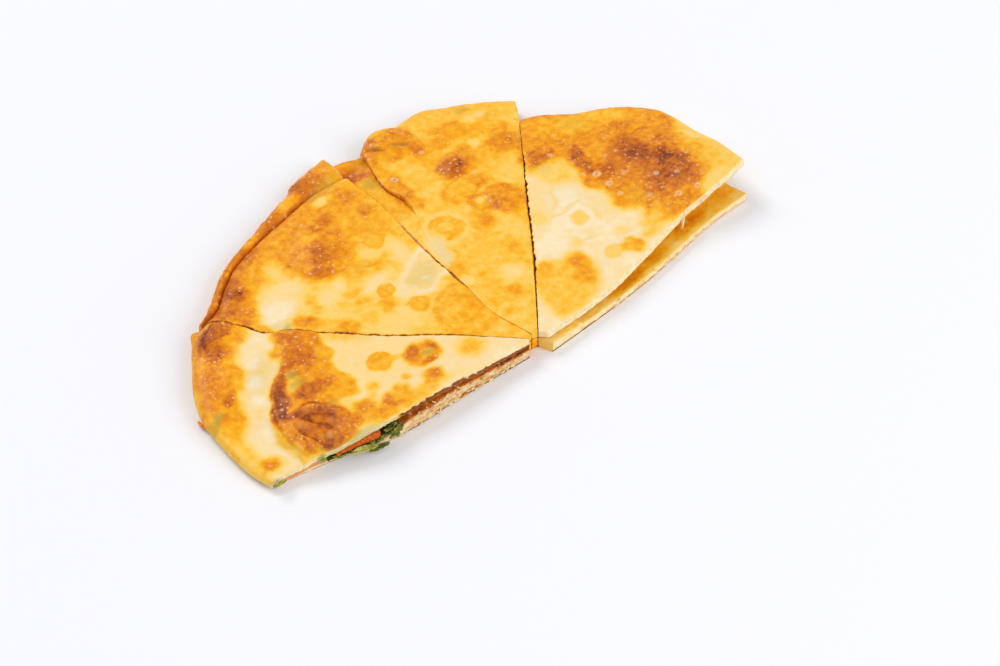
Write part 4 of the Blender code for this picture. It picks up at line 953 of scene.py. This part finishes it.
def base_sheet(name, stands_for, wedge, columns, rows, look, ridge=None, beside_look=None):
    """Skin of a base sheet. beside_look is the look of the sheet beside its pressed strip."""
    item = block(name, columns, rows, SHEET_RINGS)
    unit = read_points(item)
    across = closer_at_ends(unit[:, 0] + 0.5, ridge is None, 0.5 if ridge is None else 0.0)
    outward = unit[:, 1] + 0.5
    side, depth, wall = sides_of(unit)
    if ridge:
        inner = 1.0 - RIDGE_SHARE
        outward = np.where(outward <= inner, outward / inner, 1.0 + (outward - inner) / RIDGE_SHARE)
    plan, width = wedge.at(across, np.minimum(outward, 1.0))
    share = np.zeros(len(plan))
    if ridge:
        plan, share = out_to_ridge(plan, across, outward, ridge)
    x, y = plan.T
    to_cut = np.minimum(across, 1.0 - across) * width
    painted_x, painted_y = warped(x, y)
    bake = look.ground + 0.08 * wave(x, y, 6.0, look.seed) + 0.05 * wave(x, y, 2.2, look.seed + 5.0)
    top = base_face(x, y)
    if ridge:
        top = ridge_height(x, y, top, outward, share)
    bake, top = paint(bake, top, painted_x, painted_y, look.marks)
    if ridge:
        bake = bake + smooth(0.3, 0.04, share) * smooth(-8.0, -18.0, x) * (outward > 0.985) * (0.86 - bake)
        bake = bake - 0.1 * smooth(0.7, 1.0, share)
    bake, top = add_creases(bake, top, painted_x, painted_y, look.creases)
    top = top + 0.12 * wave(x, y, 1.6, look.seed + 7.0) - 0.25 * np.exp(-to_cut / 0.4) * (share == 0.0)
    if beside_look:
        level = strip_share(x, y)
        near_bake, _, near_top, _ = browning(beside_look, x, y, np.zeros(len(x)), np.full(len(x), 99.0))
        near_bake = near_bake + painted_cut_shade(x, y, across * width, 1.0) * (0.97 - near_bake)
        bake, top = bake + level * (near_bake - bake), top + level * (near_top - 0.12 - top)
    foot = RIDGE_TUCK * smooth(1.8, 2.0, outward) if ridge else np.zeros(len(x))
    z = top + (foot - top) * depth
    e, _ = wall_directions(wedge, across, np.minimum(outward, 1.0))
    torn = torn_layers(x, y, depth, look.seed + 20.0)
    push = (0.42 * torn * wall - 0.4 * smooth(0.75, 1.0, depth)) * (share == 0.0)
    x, y = (np.column_stack((x, y)) + e * (push * side)[:, None]).T
    put_points(item, x, y, np.maximum(z, 0.0))
    green, _ = paint(np.zeros(len(x)), top, painted_x, painted_y, look.green)
    # The lowest layer of the open side is fried brown, and so is the front edge beside the corner.
    front_side, open_side = (side < 0.0) & (depth < 0.6), (side > 0.0) & (x > OPEN_SIDE_X)
    fried = np.where(open_side, smooth(0.7, 0.9, depth), 0.0)
    fried = np.where(front_side, smooth(*CORNER_BAND_X, x), fried)
    keep(item, "bake", bake + fried * (0.7 - bake))
    keep(item, "green", green)
    cut = np.where((side != 0.0) & (depth < 0.01), 0.5, 0.0)
    cut = np.where((side != 0.0) & wall & (share == 0.0), 1.0, cut)
    keep(item, "cut", cut * (1.0 - 0.8 * fried))
    # Right of the greens the front crumb is darker, and the top of its cut face is painted darker still as
    # shade under the top sheet.
    shade = 0.25 * smooth(0.25, 0.0, depth) * smooth(-66.0, -58.0, x) * (x < 0.0)
    front = smooth(-66.0, -60.0, x) * (x < 0.0)
    tone = 0.74 - 0.24 * front + (0.26 + 0.1 * front) * torn + 0.1 * smooth(-90.0, -98.0, x) - shade
    keep(item, "tone", tone)
    return finish_sheet(item, stands_for)


def trim(cut, end):
    """The cut, stopped at the end of an inset rim."""
    return cut[:-1] + (end,)


# %% Make the four base sheets
RIDGE_MARKS = (
    (-10, 129.5, 9, 5.5, 0.76, 10, 0.6, 0.2), (-16, 132, 4, 2.5, 0.84, 30, 0.7),
    (-38, 121, 8, 5, 0.72, 22, 0.6), (-57, 113, 7, 4.5, 0.74, 28, 0.6), (-76, 102, 6, 4, 0.7, 40, 0.6),
    (-24, 127, 5, 3, 0.46, 18, 0.7), (-48, 118, 4, 2.6, 0.48, 22, 0.7), (-66, 109, 4, 2.6, 0.46, 35, 0.7),
    (0, 134, 5, 4, 0.62, 0, 0.7), (-85, 95.5, 5, 2.4, 0.78, 40), (-31, 125, 3, 2, 0.62, 20),
    (-69, 107, 2, 3, 0.74, 40),
)
RIDGE_CREASES = (
    (((-14, 126), (-17, 130), (-17, 134)), 0.6, 0.6, 0.84),
    (((-29, 121), (-31, 124), (-33, 127)), 0.6, 0.4, 0.78),
    (((-47, 116), (-49, 119), (-52, 120)), 0.6, 0.4, 0.8),
    (((-63, 109), (-66, 111), (-68, 113)), 0.6, 0.4, 0.8),
    (((-78, 99), (-80, 101), (-83, 101)), 0.6, 0.4, 0.8),
    (((-3, 128), (-4, 133), (-3, 137)), 0.6, 0.4, 0.78),
    (((-20, 130), (-35, 124), (-52, 117.5)), 0.5, 0.3, 0.74),
    (((-56, 115), (-68, 108), (-78, 101.5)), 0.5, 0.3, 0.76),
)
# The pocket beside the fold is browned, and painted darker too as the shade of the fold over it.
POCKET_BROWNING_AND_SHADE = (
    (8, 106, 4, 6, 0.46, 0, 0.9), (14.5, 98, 3, 5, 0.66), (9, 131, 6, 3, 0.56), (13, 126, 4, 4, 0.6),
    (5.6, 123.4, 5.6, 5, 0.9, 20), (11, 120, 3.4, 3, 0.74), (8.4, 114.4, 3.4, 4, 0.5),
)
# The base in the open gap is gold, and painted darker orange along the edge of the top sheet as the shade
# under it.
OPEN_BROWNING_AND_SHADE = (
    Area(((20, 2.2), (40, 3), (60, 5), (80, 8.2), (98, 11), (112, 12.6), (118, 30), (20, 30)), 0.43, 1.8),
    (92, 12.4, 9, 2.6, 0.66, 8, 0.9), (84, 9.6, 5, 2, 0.56, 8), (49, 4.4, 9, 2.2, 0.64, 5, 0.9),
    (66, 7, 7, 2, 0.6, 9, 0.9), (72, 4.6, 5, 1.4, 0.36, 8, 0.9), (113, 15, 6, 4, 0.5, 10),
    (117, 11, 4, 2, 0.32), (105, 9.4, 4, 1.4, 0.42, 6),
)

base_1 = Look(0.85, (), ((-97, 92, 8, 8, 0.55, 0, 0.6),), (), (), 5.3)
base_2 = Look(0.52, (), RIDGE_MARKS, RIDGE_CREASES, ((-6, 124.6, 8, 2.2, 0.45, 10, 0.9),), 6.3)
base_3 = Look(0.5, (), POCKET_BROWNING_AND_SHADE, (), ((9.5, 113.4, 2.8, 3.4, 0.6, 0, 0.9),), 7.3)
base_4 = Look(0.33, (), OPEN_BROWNING_AND_SHADE, (), (), 8.3)

under_1 = Wedge(CUT_FRONT_BASE, CUT_1_2, RIM_1_BASE, LIP_INSET)
under_2 = Wedge(CUT_1_2, CUT_2_3, RIM_2)
under_3 = Wedge(trim(CUT_2_3, RIM_3_BASE[0]), trim(CUT_3_4, RIM_3_BASE[-1]), RIM_3_BASE, 0,
                (KERF_2_3, EVEN_KERF))
under_4 = Wedge(trim(CUT_4_3, RIM_4_BASE[0]), CUT_RIGHT_BASE, RIM_4_BASE)
bases = [
    base_sheet("lower_1", "slice_1_base", under_1, 130, 170, base_1),
    base_sheet("lower_2", "slice_2_base", under_2, 210, 130, base_2, RIDGE_2),
    base_sheet("lower_3", "slice_3_base", under_3, 130, 170, base_3, beside_look=look_3),
    base_sheet("lower_4", "slice_4_base", under_4, 140, 200, base_4),
]

# %% [markdown]
# ## The filling
#
# Greens cooked inside the bread lie pressed in thin crumpled layers, so at the cut they are a dark stack
# with frayed edges. The stack is one block that fills the room between the sheets, with small crumpled
# shreds set into its face. The carrot is a single wedge on top of it, cut across its fibres.

# %% Make the greens and the carrot
GREENS_LEFT, GREENS_RIGHT, GREENS_DEEP = -95.0, -66.0, 40.0
GREENS_THIN = 0.35
CARROT_FROM, CARROT_TO = -91.5, -74.6
CARROT_THIN, CARROT_THICK, CARROT_DEPTH = 1.2, 3.1, 3.8
FILL_CLEAR = 0.3                # room round the filling


def front_line(x):
    return level_at(CUT_FRONT, x) + 0.5


def carrot_height(x):
    return CARROT_THIN + (CARROT_THICK - CARROT_THIN) * smooth(CARROT_FROM, CARROT_TO, x)


def carrot_room(x, y):
    near = smooth(CARROT_DEPTH + 4.2, CARROT_DEPTH + 1.1, y - level_at(CUT_FRONT, x))
    beside_it = smooth(CARROT_TO + 4.8, CARROT_TO + 0.8, x) * smooth(CARROT_FROM - 3.5, CARROT_FROM - 1.0, x)
    return (carrot_height(x) + FILL_CLEAR) * near * beside_it


def greens_stack():
    item = block("greens_stack", 150, 60, 10)
    unit = read_points(item)
    x = GREENS_LEFT + (GREENS_RIGHT - GREENS_LEFT) * (unit[:, 0] + 0.5)
    half = (GREENS_RIGHT - GREENS_LEFT) / 2.0 + 1.0
    deep = GREENS_DEEP * np.sqrt(np.maximum(0.12, 1.0 - ((x - FILL_MIDDLE) / half) ** 2))
    outward, depth = (unit[:, 1] + 0.5) ** 1.6, -unit[:, 2]
    y = front_line(x) + deep * outward
    roof = ceiling(x, y, crust(x, y))
    low = base_face(x, y) + SEAM
    top = np.maximum(roof - FILL_CLEAR - carrot_room(x, y), low + GREENS_THIN)
    z = top + (low - top) * depth
    front = unit[:, 1] < -BLOCK_EDGE
    layers = wave(x / 1.6, 5.0 * z, 1.4, 3.3) + 0.8 * wave(x, 6.0 * z, 0.9, 7.1)
    y = y + np.where(front, -0.1 + 0.4 * layers, 0.0)
    put_points(item, x, y, z + 0.12 * wave(x, y, 1.5, 2.2) * (depth < 0.01))
    keep(item, "shade", 0.2 + 0.3 * wave(x, 3.0 * z, 1.6, 9.1))
    item.data.shade_smooth()
    return item


def carrot_wedge():
    item = block("carrot_piece", 90, 24, 14)
    unit = read_points(item)
    x = CARROT_FROM + (CARROT_TO - CARROT_FROM) * (unit[:, 0] + 0.5)
    outward, depth = unit[:, 1] + 0.5, -unit[:, 2]
    y = front_line(x) - 0.3 + (CARROT_DEPTH + 0.3) * outward
    top = ceiling(x, y, crust(x, y)) - FILL_CLEAR
    soft_edge = 0.25 * np.exp(-outward / 0.08) * np.abs(2.0 * depth - 1.0) ** 3
    z = top - carrot_height(x) * depth + np.where(depth < 0.5, -soft_edge, soft_edge)
    front = unit[:, 1] < -BLOCK_EDGE
    fibres = 0.16 * wave(x / 3.0, 2.0 * z, 0.6, 4.4) + 0.12 * wave(x, z, 1.3, 5.5)
    y = y + np.where(front, fibres - 0.1, 0.0)
    put_points(item, x, y, z)
    keep(item, "shade", 0.5 + 0.5 * wave(x, 2.0 * z, 1.1, 6.6))
    item.data.shade_smooth()
    return item


# %% [markdown]
# ### Leaves and shreds
#
# A shred of leaf is a flat grid, waved and tapered, with torn ends, and then given a thickness. The few
# large ones that hang out of the cut stand for solids of their own. Small ones are set along the face of
# the stack. Threads of dough that the knife pulled from the sheets are made the same way.

# %% Make shreds
def shred(name, middle, size, turns, bend, cells=(26, 12), fray=0.35, thick=0.35, shade=0.5, bake=0.62):
    """A thin wavy shred: middle in plan millimetres and height, length and width, and turns in degrees."""
    deselect()
    bpy.ops.mesh.primitive_grid_add(x_subdivisions=cells[0], y_subdivisions=cells[1], size=2.0)
    item = bpy.context.object
    item.name = item.data.name = name
    flat = read_points(item)
    s, t = flat[:, 0], flat[:, 1]
    taper = np.sqrt(np.maximum(0.12, 1.0 - np.abs(s) ** 2.4))
    seed = middle[0]
    torn_side = 1.0 + fray * wave(4.0 * s, np.sign(t) * 3.0, 1.0, seed) * np.abs(t) ** 3
    torn_end = fray * wave(5.0 * t, np.sign(s) * 3.0, 1.0, seed + 4.0) * np.abs(s) ** 6
    curl = np.sin(5.2 * s + seed) * (0.4 + 0.6 * t) + 0.6 * np.sin(3.0 * t + s)
    lift = bend * curl + 0.6 * bend * wave(3 * s, 3 * t, 1.0, seed)
    along, aside = 0.5 * size[0] * (s + torn_end * 0.3), 0.5 * size[1] * t * taper * torn_side
    points = np.column_stack((along, aside, lift))
    turn = np.array([math.radians(a) for a in turns])
    c, d = np.cos(turn), np.sin(turn)
    turned = points @ np.array([[1, 0, 0], [0, c[0], d[0]], [0, -d[0], c[0]]])
    turned = turned @ np.array([[c[1], 0, -d[1]], [0, 1, 0], [d[1], 0, c[1]]])
    turned = turned @ np.array([[c[2], d[2], 0], [-d[2], c[2], 0], [0, 0, 1]])
    x, y, z = (turned + np.array(middle)).T
    put_points(item, x, y, np.maximum(z, thick / 2))
    keep(item, "shade", shade + 0.4 * wave(2 * s + seed, 2 * t, 1.0, seed) + 0.35 * np.abs(t) ** 4)
    keep(item, "bake", bake + 0.2 * wave(3 * s, 3 * t, 1.0, seed))
    skin = item.modifiers.new("Thickness", "SOLIDIFY")
    skin.thickness = thick * MM
    skin.offset = 0.0
    bpy.ops.object.modifier_apply(modifier=skin.name)
    item.data.shade_smooth()
    return item


def join(name, items):
    deselect()
    for item in items:
        item.select_set(True)
    bpy.context.view_layer.objects.active = items[0]
    bpy.ops.object.join()
    items[0].name = items[0].data.name = name
    return items[0]


def settle(item, stands_for=None):
    """The piece belongs to the object, in place of its solid if it has one."""
    if stands_for:
        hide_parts(stands_for)
    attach(item, "root")
    print(item.name, len(item.data.polygons), "faces")
    return item


def at_point(function, x, y):
    return float(function(np.array([x]), np.array([y]))[0])


def roof_at(x, y):
    return ceiling(x, y, crust(x, y))


# %% Make the filling
SHREDS = 44

draw = np.random.default_rng(7)
small = []
for k in range(SHREDS):
    along = GREENS_LEFT + 3.0 + (GREENS_RIGHT - GREENS_LEFT - 4.0) * (k + draw.uniform(0, 1)) / SHREDS
    face = float(front_line(along))
    floor_z, roof_z = at_point(base_face, along, face), at_point(roof_at, along, face)
    room = roof_z - floor_z - at_point(carrot_room, along, face)
    height = floor_z + 0.3 + max(0.3, room - 0.7) * draw.uniform(0, 1)
    size = (draw.uniform(1.4, 4.0), draw.uniform(0.6, 1.5))
    turns = (draw.uniform(-20, 65), draw.uniform(-25, 25), draw.uniform(-35, 20))
    bend, shade = draw.uniform(0.1, 0.3), draw.uniform(0.1, 0.75)
    small.append(shred("shred", (along, face - 0.1, height), size, turns, bend, (8, 4), 0.5, 0.16, shade))

greens = settle(join("greens", [greens_stack()] + small), "greens_layer")
carrot = settle(carrot_wedge(), "carrot_strip")
leaves = [
    settle(shred("large_leaf", (-82.0, 5.6, 4.2), (10.0, 2.4), (62, 4, -18), 0.3, shade=0.8), "leaf_1"),
    settle(shred("low_leaf", (-76.4, 4.0, 2.4), (8, 1.8), (45, -4, -14), 0.3, shade=0.34), "leaf_2"),
    settle(shred("right_leaf", (-68.6, 3.7, 5.2), (7.0, 2.8), (66, -14, 3), 0.4, fray=0.6, shade=0.4),
           "leaf_3"),
    settle(shred("corner_bit", (-115.0, 12.8, 4.6), (5.4, 2.0), (66, 0, -7), 0.15, (14, 8), shade=0.74),
           "green_bit_1"),
    settle(shred("edge_bit", (-97.4, 10.0, 6.2), (2.6, 1.5), (50, 0, -14), 0.12, (10, 6), shade=0.6),
           "green_bit_2"),
]


# %% Threads and flakes of dough at the cuts
def threads(name, cut, start, end, count, heights, seed, bake):
    """Short torn threads that stick out of a cut between two places along X."""
    draw = np.random.default_rng(seed)
    made = []
    for k in range(count):
        x = start + (end - start) * (k + draw.uniform(0, 1)) / count
        size = (draw.uniform(1.6, 3.8), draw.uniform(0.45, 0.9))
        turns = (draw.uniform(-40, 40), draw.uniform(-35, 35), draw.uniform(-40, 40))
        place = (x, float(level_at(cut, x)) + draw.uniform(-0.3, 0.1), draw.uniform(*heights))
        bend = draw.uniform(0.1, 0.25)
        made.append(shred("thread", place, size, turns, bend, (8, 4), 0.5, 0.14, bake=bake))
    return settle(join(name, made))


flakes = [
    settle(shred("rim_flake", (-117.4, 56.2, 1.3), (5.6, 1.2), (0, 6, 86), 0.12, (16, 6)), "crust_flake_1"),
    settle(shred("gap_flake", (86.6, 11.9, 8.1), (7.2, 1.2), (0, 55, -145), 0.2, (16, 6), 0.5, 0.3, bake=0.1),
           "crust_flake_2"),
    threads("fringe_left", CUT_FRONT_BASE, -66.0, -12.0, 22, (0.5, 1.8), 3, 0.12),
    threads("fringe_right", CUT_RIGHT_BASE, 34.0, 100.0, 16, (0.8, 3.2), 4, 0.12),
    threads("torn_edge_left", CUT_FRONT, -62.0, -36.0, 6, (6.0, 7.6), 5, 0.16),
]

# %% [markdown]
# ## Materials
#
# Fried dough is starch and gluten that dried in hot oil. Its colour comes from browning alone, so one
# colour ramp along the browning serves the whole bread. Fresh oil gives it a soft gloss that breaks up on
# the blisters. Light hardly enters it, which keeps the colours clear and the edges of the marks crisp.


# %% Helpers for materials
def colour(code):
    """A hex code such as f3a930 as linear colour."""
    parts = [int(code[k:k + 2], 16) / 255.0 for k in (0, 2, 4)]
    return tuple(p / 12.92 if p <= 0.04045 else ((p + 0.055) / 1.055) ** 2.4 for p in parts) + (1.0,)


def new_material(name, **sockets):
    material = bpy.data.materials.new(name)
    material.use_nodes = True
    shader = material.node_tree.nodes["Principled BSDF"]
    for key, value in sockets.items():
        shader.inputs[key.replace("_", " ")].default_value = value
    return material, material.node_tree, shader


def node(tree, kind, inputs=(), **settings):
    """Adds a node and gives its first output. An input is a value or another output."""
    made = tree.nodes.new("ShaderNode" + kind)
    for key, value in settings.items():
        setattr(made, key, value)
    for key, value in inputs.items() if isinstance(inputs, dict) else enumerate(inputs):
        if isinstance(value, bpy.types.NodeSocket):
            tree.links.new(value, made.inputs[key])
        else:
            made.inputs[key].default_value = value
    return next(output for output in made.outputs if output.enabled)


def set_stops(marks, stops):
    """Puts the stops of a ramp, each a place and a hex code, on its colour marks."""
    while len(marks) < len(stops):
        marks.new(0.5)
    for mark, (place, _) in zip(marks, stops):
        mark.position = place
    for mark, (_, code) in zip(marks, stops):
        mark.color = colour(code)


# %% Fried wheat dough, oiled and browned in patches
BROWNING = (
    (0.0, "fbebc8"), (0.1, "f9dda6"), (0.22, "fcd47e"), (0.34, "fdcd5e"), (0.42, "fdc038"), (0.5, "f9af14"),
    (0.6, "f09804"), (0.72, "dd7d0a"), (0.84, "c46615"), (0.93, "a54e14"), (1.0, "843c16"),
)
# The dark end of the crumb is reached by sauce and by the painted shade in closed cuts and under the front
# edge.
CRUMB = ((0.0, "741f00"), (0.15, "9c4208"), (0.35, "dcae6a"), (0.6, "f2d8a0"), (1.0, "fdf0cc"))
BUBBLE_PALE_AND_GLINT, LEAF_BENEATH = "fcc98a", "949a44"
BUBBLE_MM = 2.5                 # one small bubble in each square this wide, where there are any
# Size of the patches in millimetres, detail and roughness.
GRAINS = ((1.1, 5.0, 0.65), (2.8, 3.0, 0.6), (0.8, 4.0, 0.6), (0.45, 3.0, 0.6), (7.0, 1.0, 0.6))


def fried_dough(name):
    """Browned skin with small round bubbles of different sizes, and cut faces of crumb in layers."""
    material, tree, shader = new_material(name, IOR=1.45, Specular_IOR_Level=0.2, Coat_Weight=0.06,
                                          Coat_Roughness=0.2)
    place = node(tree, "TexCoord").node.outputs["Object"]
    bake, tone, cut, green = [node(tree, "Attribute", attribute_name=kept).node.outputs["Fac"]
                              for kept in ("bake", "tone", "cut", "green")]
    fine, broad, crumbs, pits, fields = [
        node(tree, "TexNoise", {"Vector": place, "Scale": 1.0 / (size * MM), "Detail": detail,
                                "Roughness": rough})
        for size, detail, rough in GRAINS]

    # The finer browning shows most where the dough is already brown.
    spread = node(tree, "Math", (fine, 0.3, -0.4), operation="MULTIPLY_ADD")
    spread = node(tree, "Math", (broad, 0.5, spread), operation="MULTIPLY_ADD")
    held = node(tree, "MapRange", (bake, 0.05, 0.4, 0.24, 0.54), interpolation_type="SMOOTHSTEP")
    more = node(tree, "MapRange", (bake, 0.52, 0.72, 0.0, 0.4), interpolation_type="SMOOTHSTEP")
    held = node(tree, "Math", (held, more), operation="ADD")
    level = node(tree, "Math", (spread, held, bake), operation="MULTIPLY_ADD", use_clamp=True)
    skin = node(tree, "ValToRGB", (level,))
    set_stops(skin.node.color_ramp.elements, BROWNING)

    # A cell may hold one bubble, which is 1 on its top. They gather on browned dough, in some fields of it.
    # The pale tops are partly pale dough and partly painted glints of oil.
    cells = node(tree, "TexVoronoi", {"Vector": place, "Scale": 1.0 / (BUBBLE_MM * MM)},
                 voronoi_dimensions="2D")
    draws = node(tree, "SeparateColor", (cells.node.outputs["Color"],)).node.outputs
    radius = node(tree, "Math", (draws[0], 2.0), operation="POWER")
    radius = node(tree, "Math", (radius, 0.2, 0.18), operation="MULTIPLY_ADD")
    reach = node(tree, "Math", (cells, radius), operation="DIVIDE")
    reach = node(tree, "Math", (reach, reach), operation="MULTIPLY")
    spots = node(tree, "Math", (1.0, reach), operation="SUBTRACT", use_clamp=True)
    for share in (node(tree, "Math", (draws[1], 0.42), operation="GREATER_THAN"),
                  node(tree, "MapRange", (bake, 0.5, 0.64), interpolation_type="SMOOTHSTEP"),
                  node(tree, "MapRange", (fields, 0.44, 0.52), interpolation_type="SMOOTHSTEP")):
        spots = node(tree, "Math", (spots, share), operation="MULTIPLY")

    # Leaf close under the skin shows as a grey-green tint, which a few spots also use as painted shade.
    low = node(tree, "Math", (tone, 0.45), operation="SUBTRACT")
    crumb_level = node(tree, "Math", (crumbs, 0.9, low), operation="MULTIPLY_ADD", use_clamp=True)
    crumb = node(tree, "ValToRGB", (crumb_level,))
    set_stops(crumb.node.color_ramp.elements, CRUMB)
    for where, share, tint in ((spots, 0.62, colour(BUBBLE_PALE_AND_GLINT)), (cut, 0.9, crumb),
                               (green, 0.62, colour(LEAF_BENEATH))):
        amount = node(tree, "Math", (where, share), operation="MULTIPLY")
        skin = node(tree, "Mix", {0: amount, "A": skin, "B": tint}, data_type="RGBA")
    tree.links.new(skin, shader.inputs["Base Color"])

    gloss = node(tree, "Math", (fine, 0.3, 0.25), operation="MULTIPLY_ADD")
    tree.links.new(gloss, shader.inputs["Roughness"])
    relief = node(tree, "Math", (fine, 0.7), operation="MULTIPLY")
    relief = node(tree, "Math", (pits, 0.35, relief), operation="MULTIPLY_ADD")
    domes = node(tree, "Math", (spots, 0.5), operation="POWER")
    relief = node(tree, "Math", (domes, 0.4, relief), operation="MULTIPLY_ADD")
    bump = node(tree, "Bump", {"Height": relief, "Strength": 0.6, "Distance": 0.3 * MM})
    tree.links.new(bump, shader.inputs["Normal"])
    return material


def dress(items, material):
    for item in items:
        item.data.materials.clear()
        item.data.materials.append(material)
    print(material.name, "on", len(items), "pieces")


dress(tops, fried_dough("fried_dough_top"))
dress(bases + flakes, fried_dough("fried_dough_base"))

# %% Cooked scallion green and carrot
LEAF = ((0.0, "1c240a"), (0.25, "363f0e"), (0.5, "6c6f14"), (0.75, "a0992c"), (1.0, "e0d794"))
ROOT = ((0.0, "a8360a"), (0.35, "c9500c"), (0.65, "dc6a10"), (1.0, "ec8a1c"))
FIBRE_MM, FIBRE_STRETCH = 0.5, (0.35, 1.0, 1.0)


def cooked_plant(name, stops, gloss):
    """Wet cooked leaf or root: waxy, a little see-through, streaked along its fibres."""
    material, tree, shader = new_material(name, Roughness=gloss, IOR=1.4, Specular_IOR_Level=0.25,
                                          Coat_Weight=0.1, Coat_Roughness=0.2, Subsurface_Weight=0.1,
                                          Subsurface_Scale=0.001)
    place = node(tree, "TexCoord").node.outputs["Object"]
    shade = node(tree, "Attribute", attribute_name="shade").node.outputs["Fac"]
    fibres = node(tree, "Mapping", {"Vector": place, "Scale": FIBRE_STRETCH})
    streaks = node(tree, "TexNoise", {"Vector": fibres, "Scale": 1.0 / (FIBRE_MM * MM), "Detail": 4.0,
                                      "Roughness": 0.6})
    level = node(tree, "Math", (streaks, 0.6, -0.18), operation="MULTIPLY_ADD")
    level = node(tree, "Math", (shade, 0.75, level), operation="MULTIPLY_ADD")
    tint = node(tree, "ValToRGB", (level,))
    set_stops(tint.node.color_ramp.elements, stops)
    tree.links.new(tint, shader.inputs["Base Color"])
    bump = node(tree, "Bump", {"Height": streaks, "Strength": 0.5, "Distance": 0.2 * MM})
    tree.links.new(bump, shader.inputs["Normal"])
    return material


dress([greens] + leaves, cooked_plant("cooked_scallion", LEAF, 0.4))
dress([carrot], cooked_plant("cooked_carrot", ROOT, 0.38))

# %% [markdown]
# ## Floor and light
#
# The bread is lit as on a white table by a large window: a broad soft light from behind and above, a
# weaker one thrown back by a white wall in front, and so much light from all round that shadows stay
# pale.

# %% Floor, lights and view
FLOOR_SIZE, ROOM_LIGHT = 4.0, 0.6

deselect()
bpy.ops.mesh.primitive_plane_add(size=FLOOR_SIZE)
floor = bpy.context.object
floor.name = "floor"
matt_white, _, _ = new_material("matt_white_table", Base_Color=colour("f6f6f8"), Roughness=0.7,
                                Specular_IOR_Level=0.1)
floor.data.materials.append(matt_white)

world = bpy.data.worlds.new("white_room")
bpy.context.scene.world = world
world.use_nodes = True
background = world.node_tree.nodes["Background"].inputs
background["Color"].default_value = colour("fafbff")
background["Strength"].default_value = ROOM_LIGHT


def soft_box(name, place, size, watts):
    """A square light at a place in metres, turned to the middle of the bread."""
    lamp = bpy.data.objects.new(name, bpy.data.lights.new(name, "AREA"))
    bpy.context.scene.collection.objects.link(lamp)
    lamp.data.size = size
    lamp.data.energy = watts
    lamp.location = place
    lamp.rotation_euler = (-Vector(place)).to_track_quat("-Z", "Y").to_euler()


soft_box("window_behind", (-0.2, 2.6, 2.6), 1.6, 55.0)
soft_box("white_wall_in_front", (0.6, -2.0, 1.2), 1.8, 27.0)
bpy.context.scene.view_settings.view_transform = "Standard"
print("lights set")
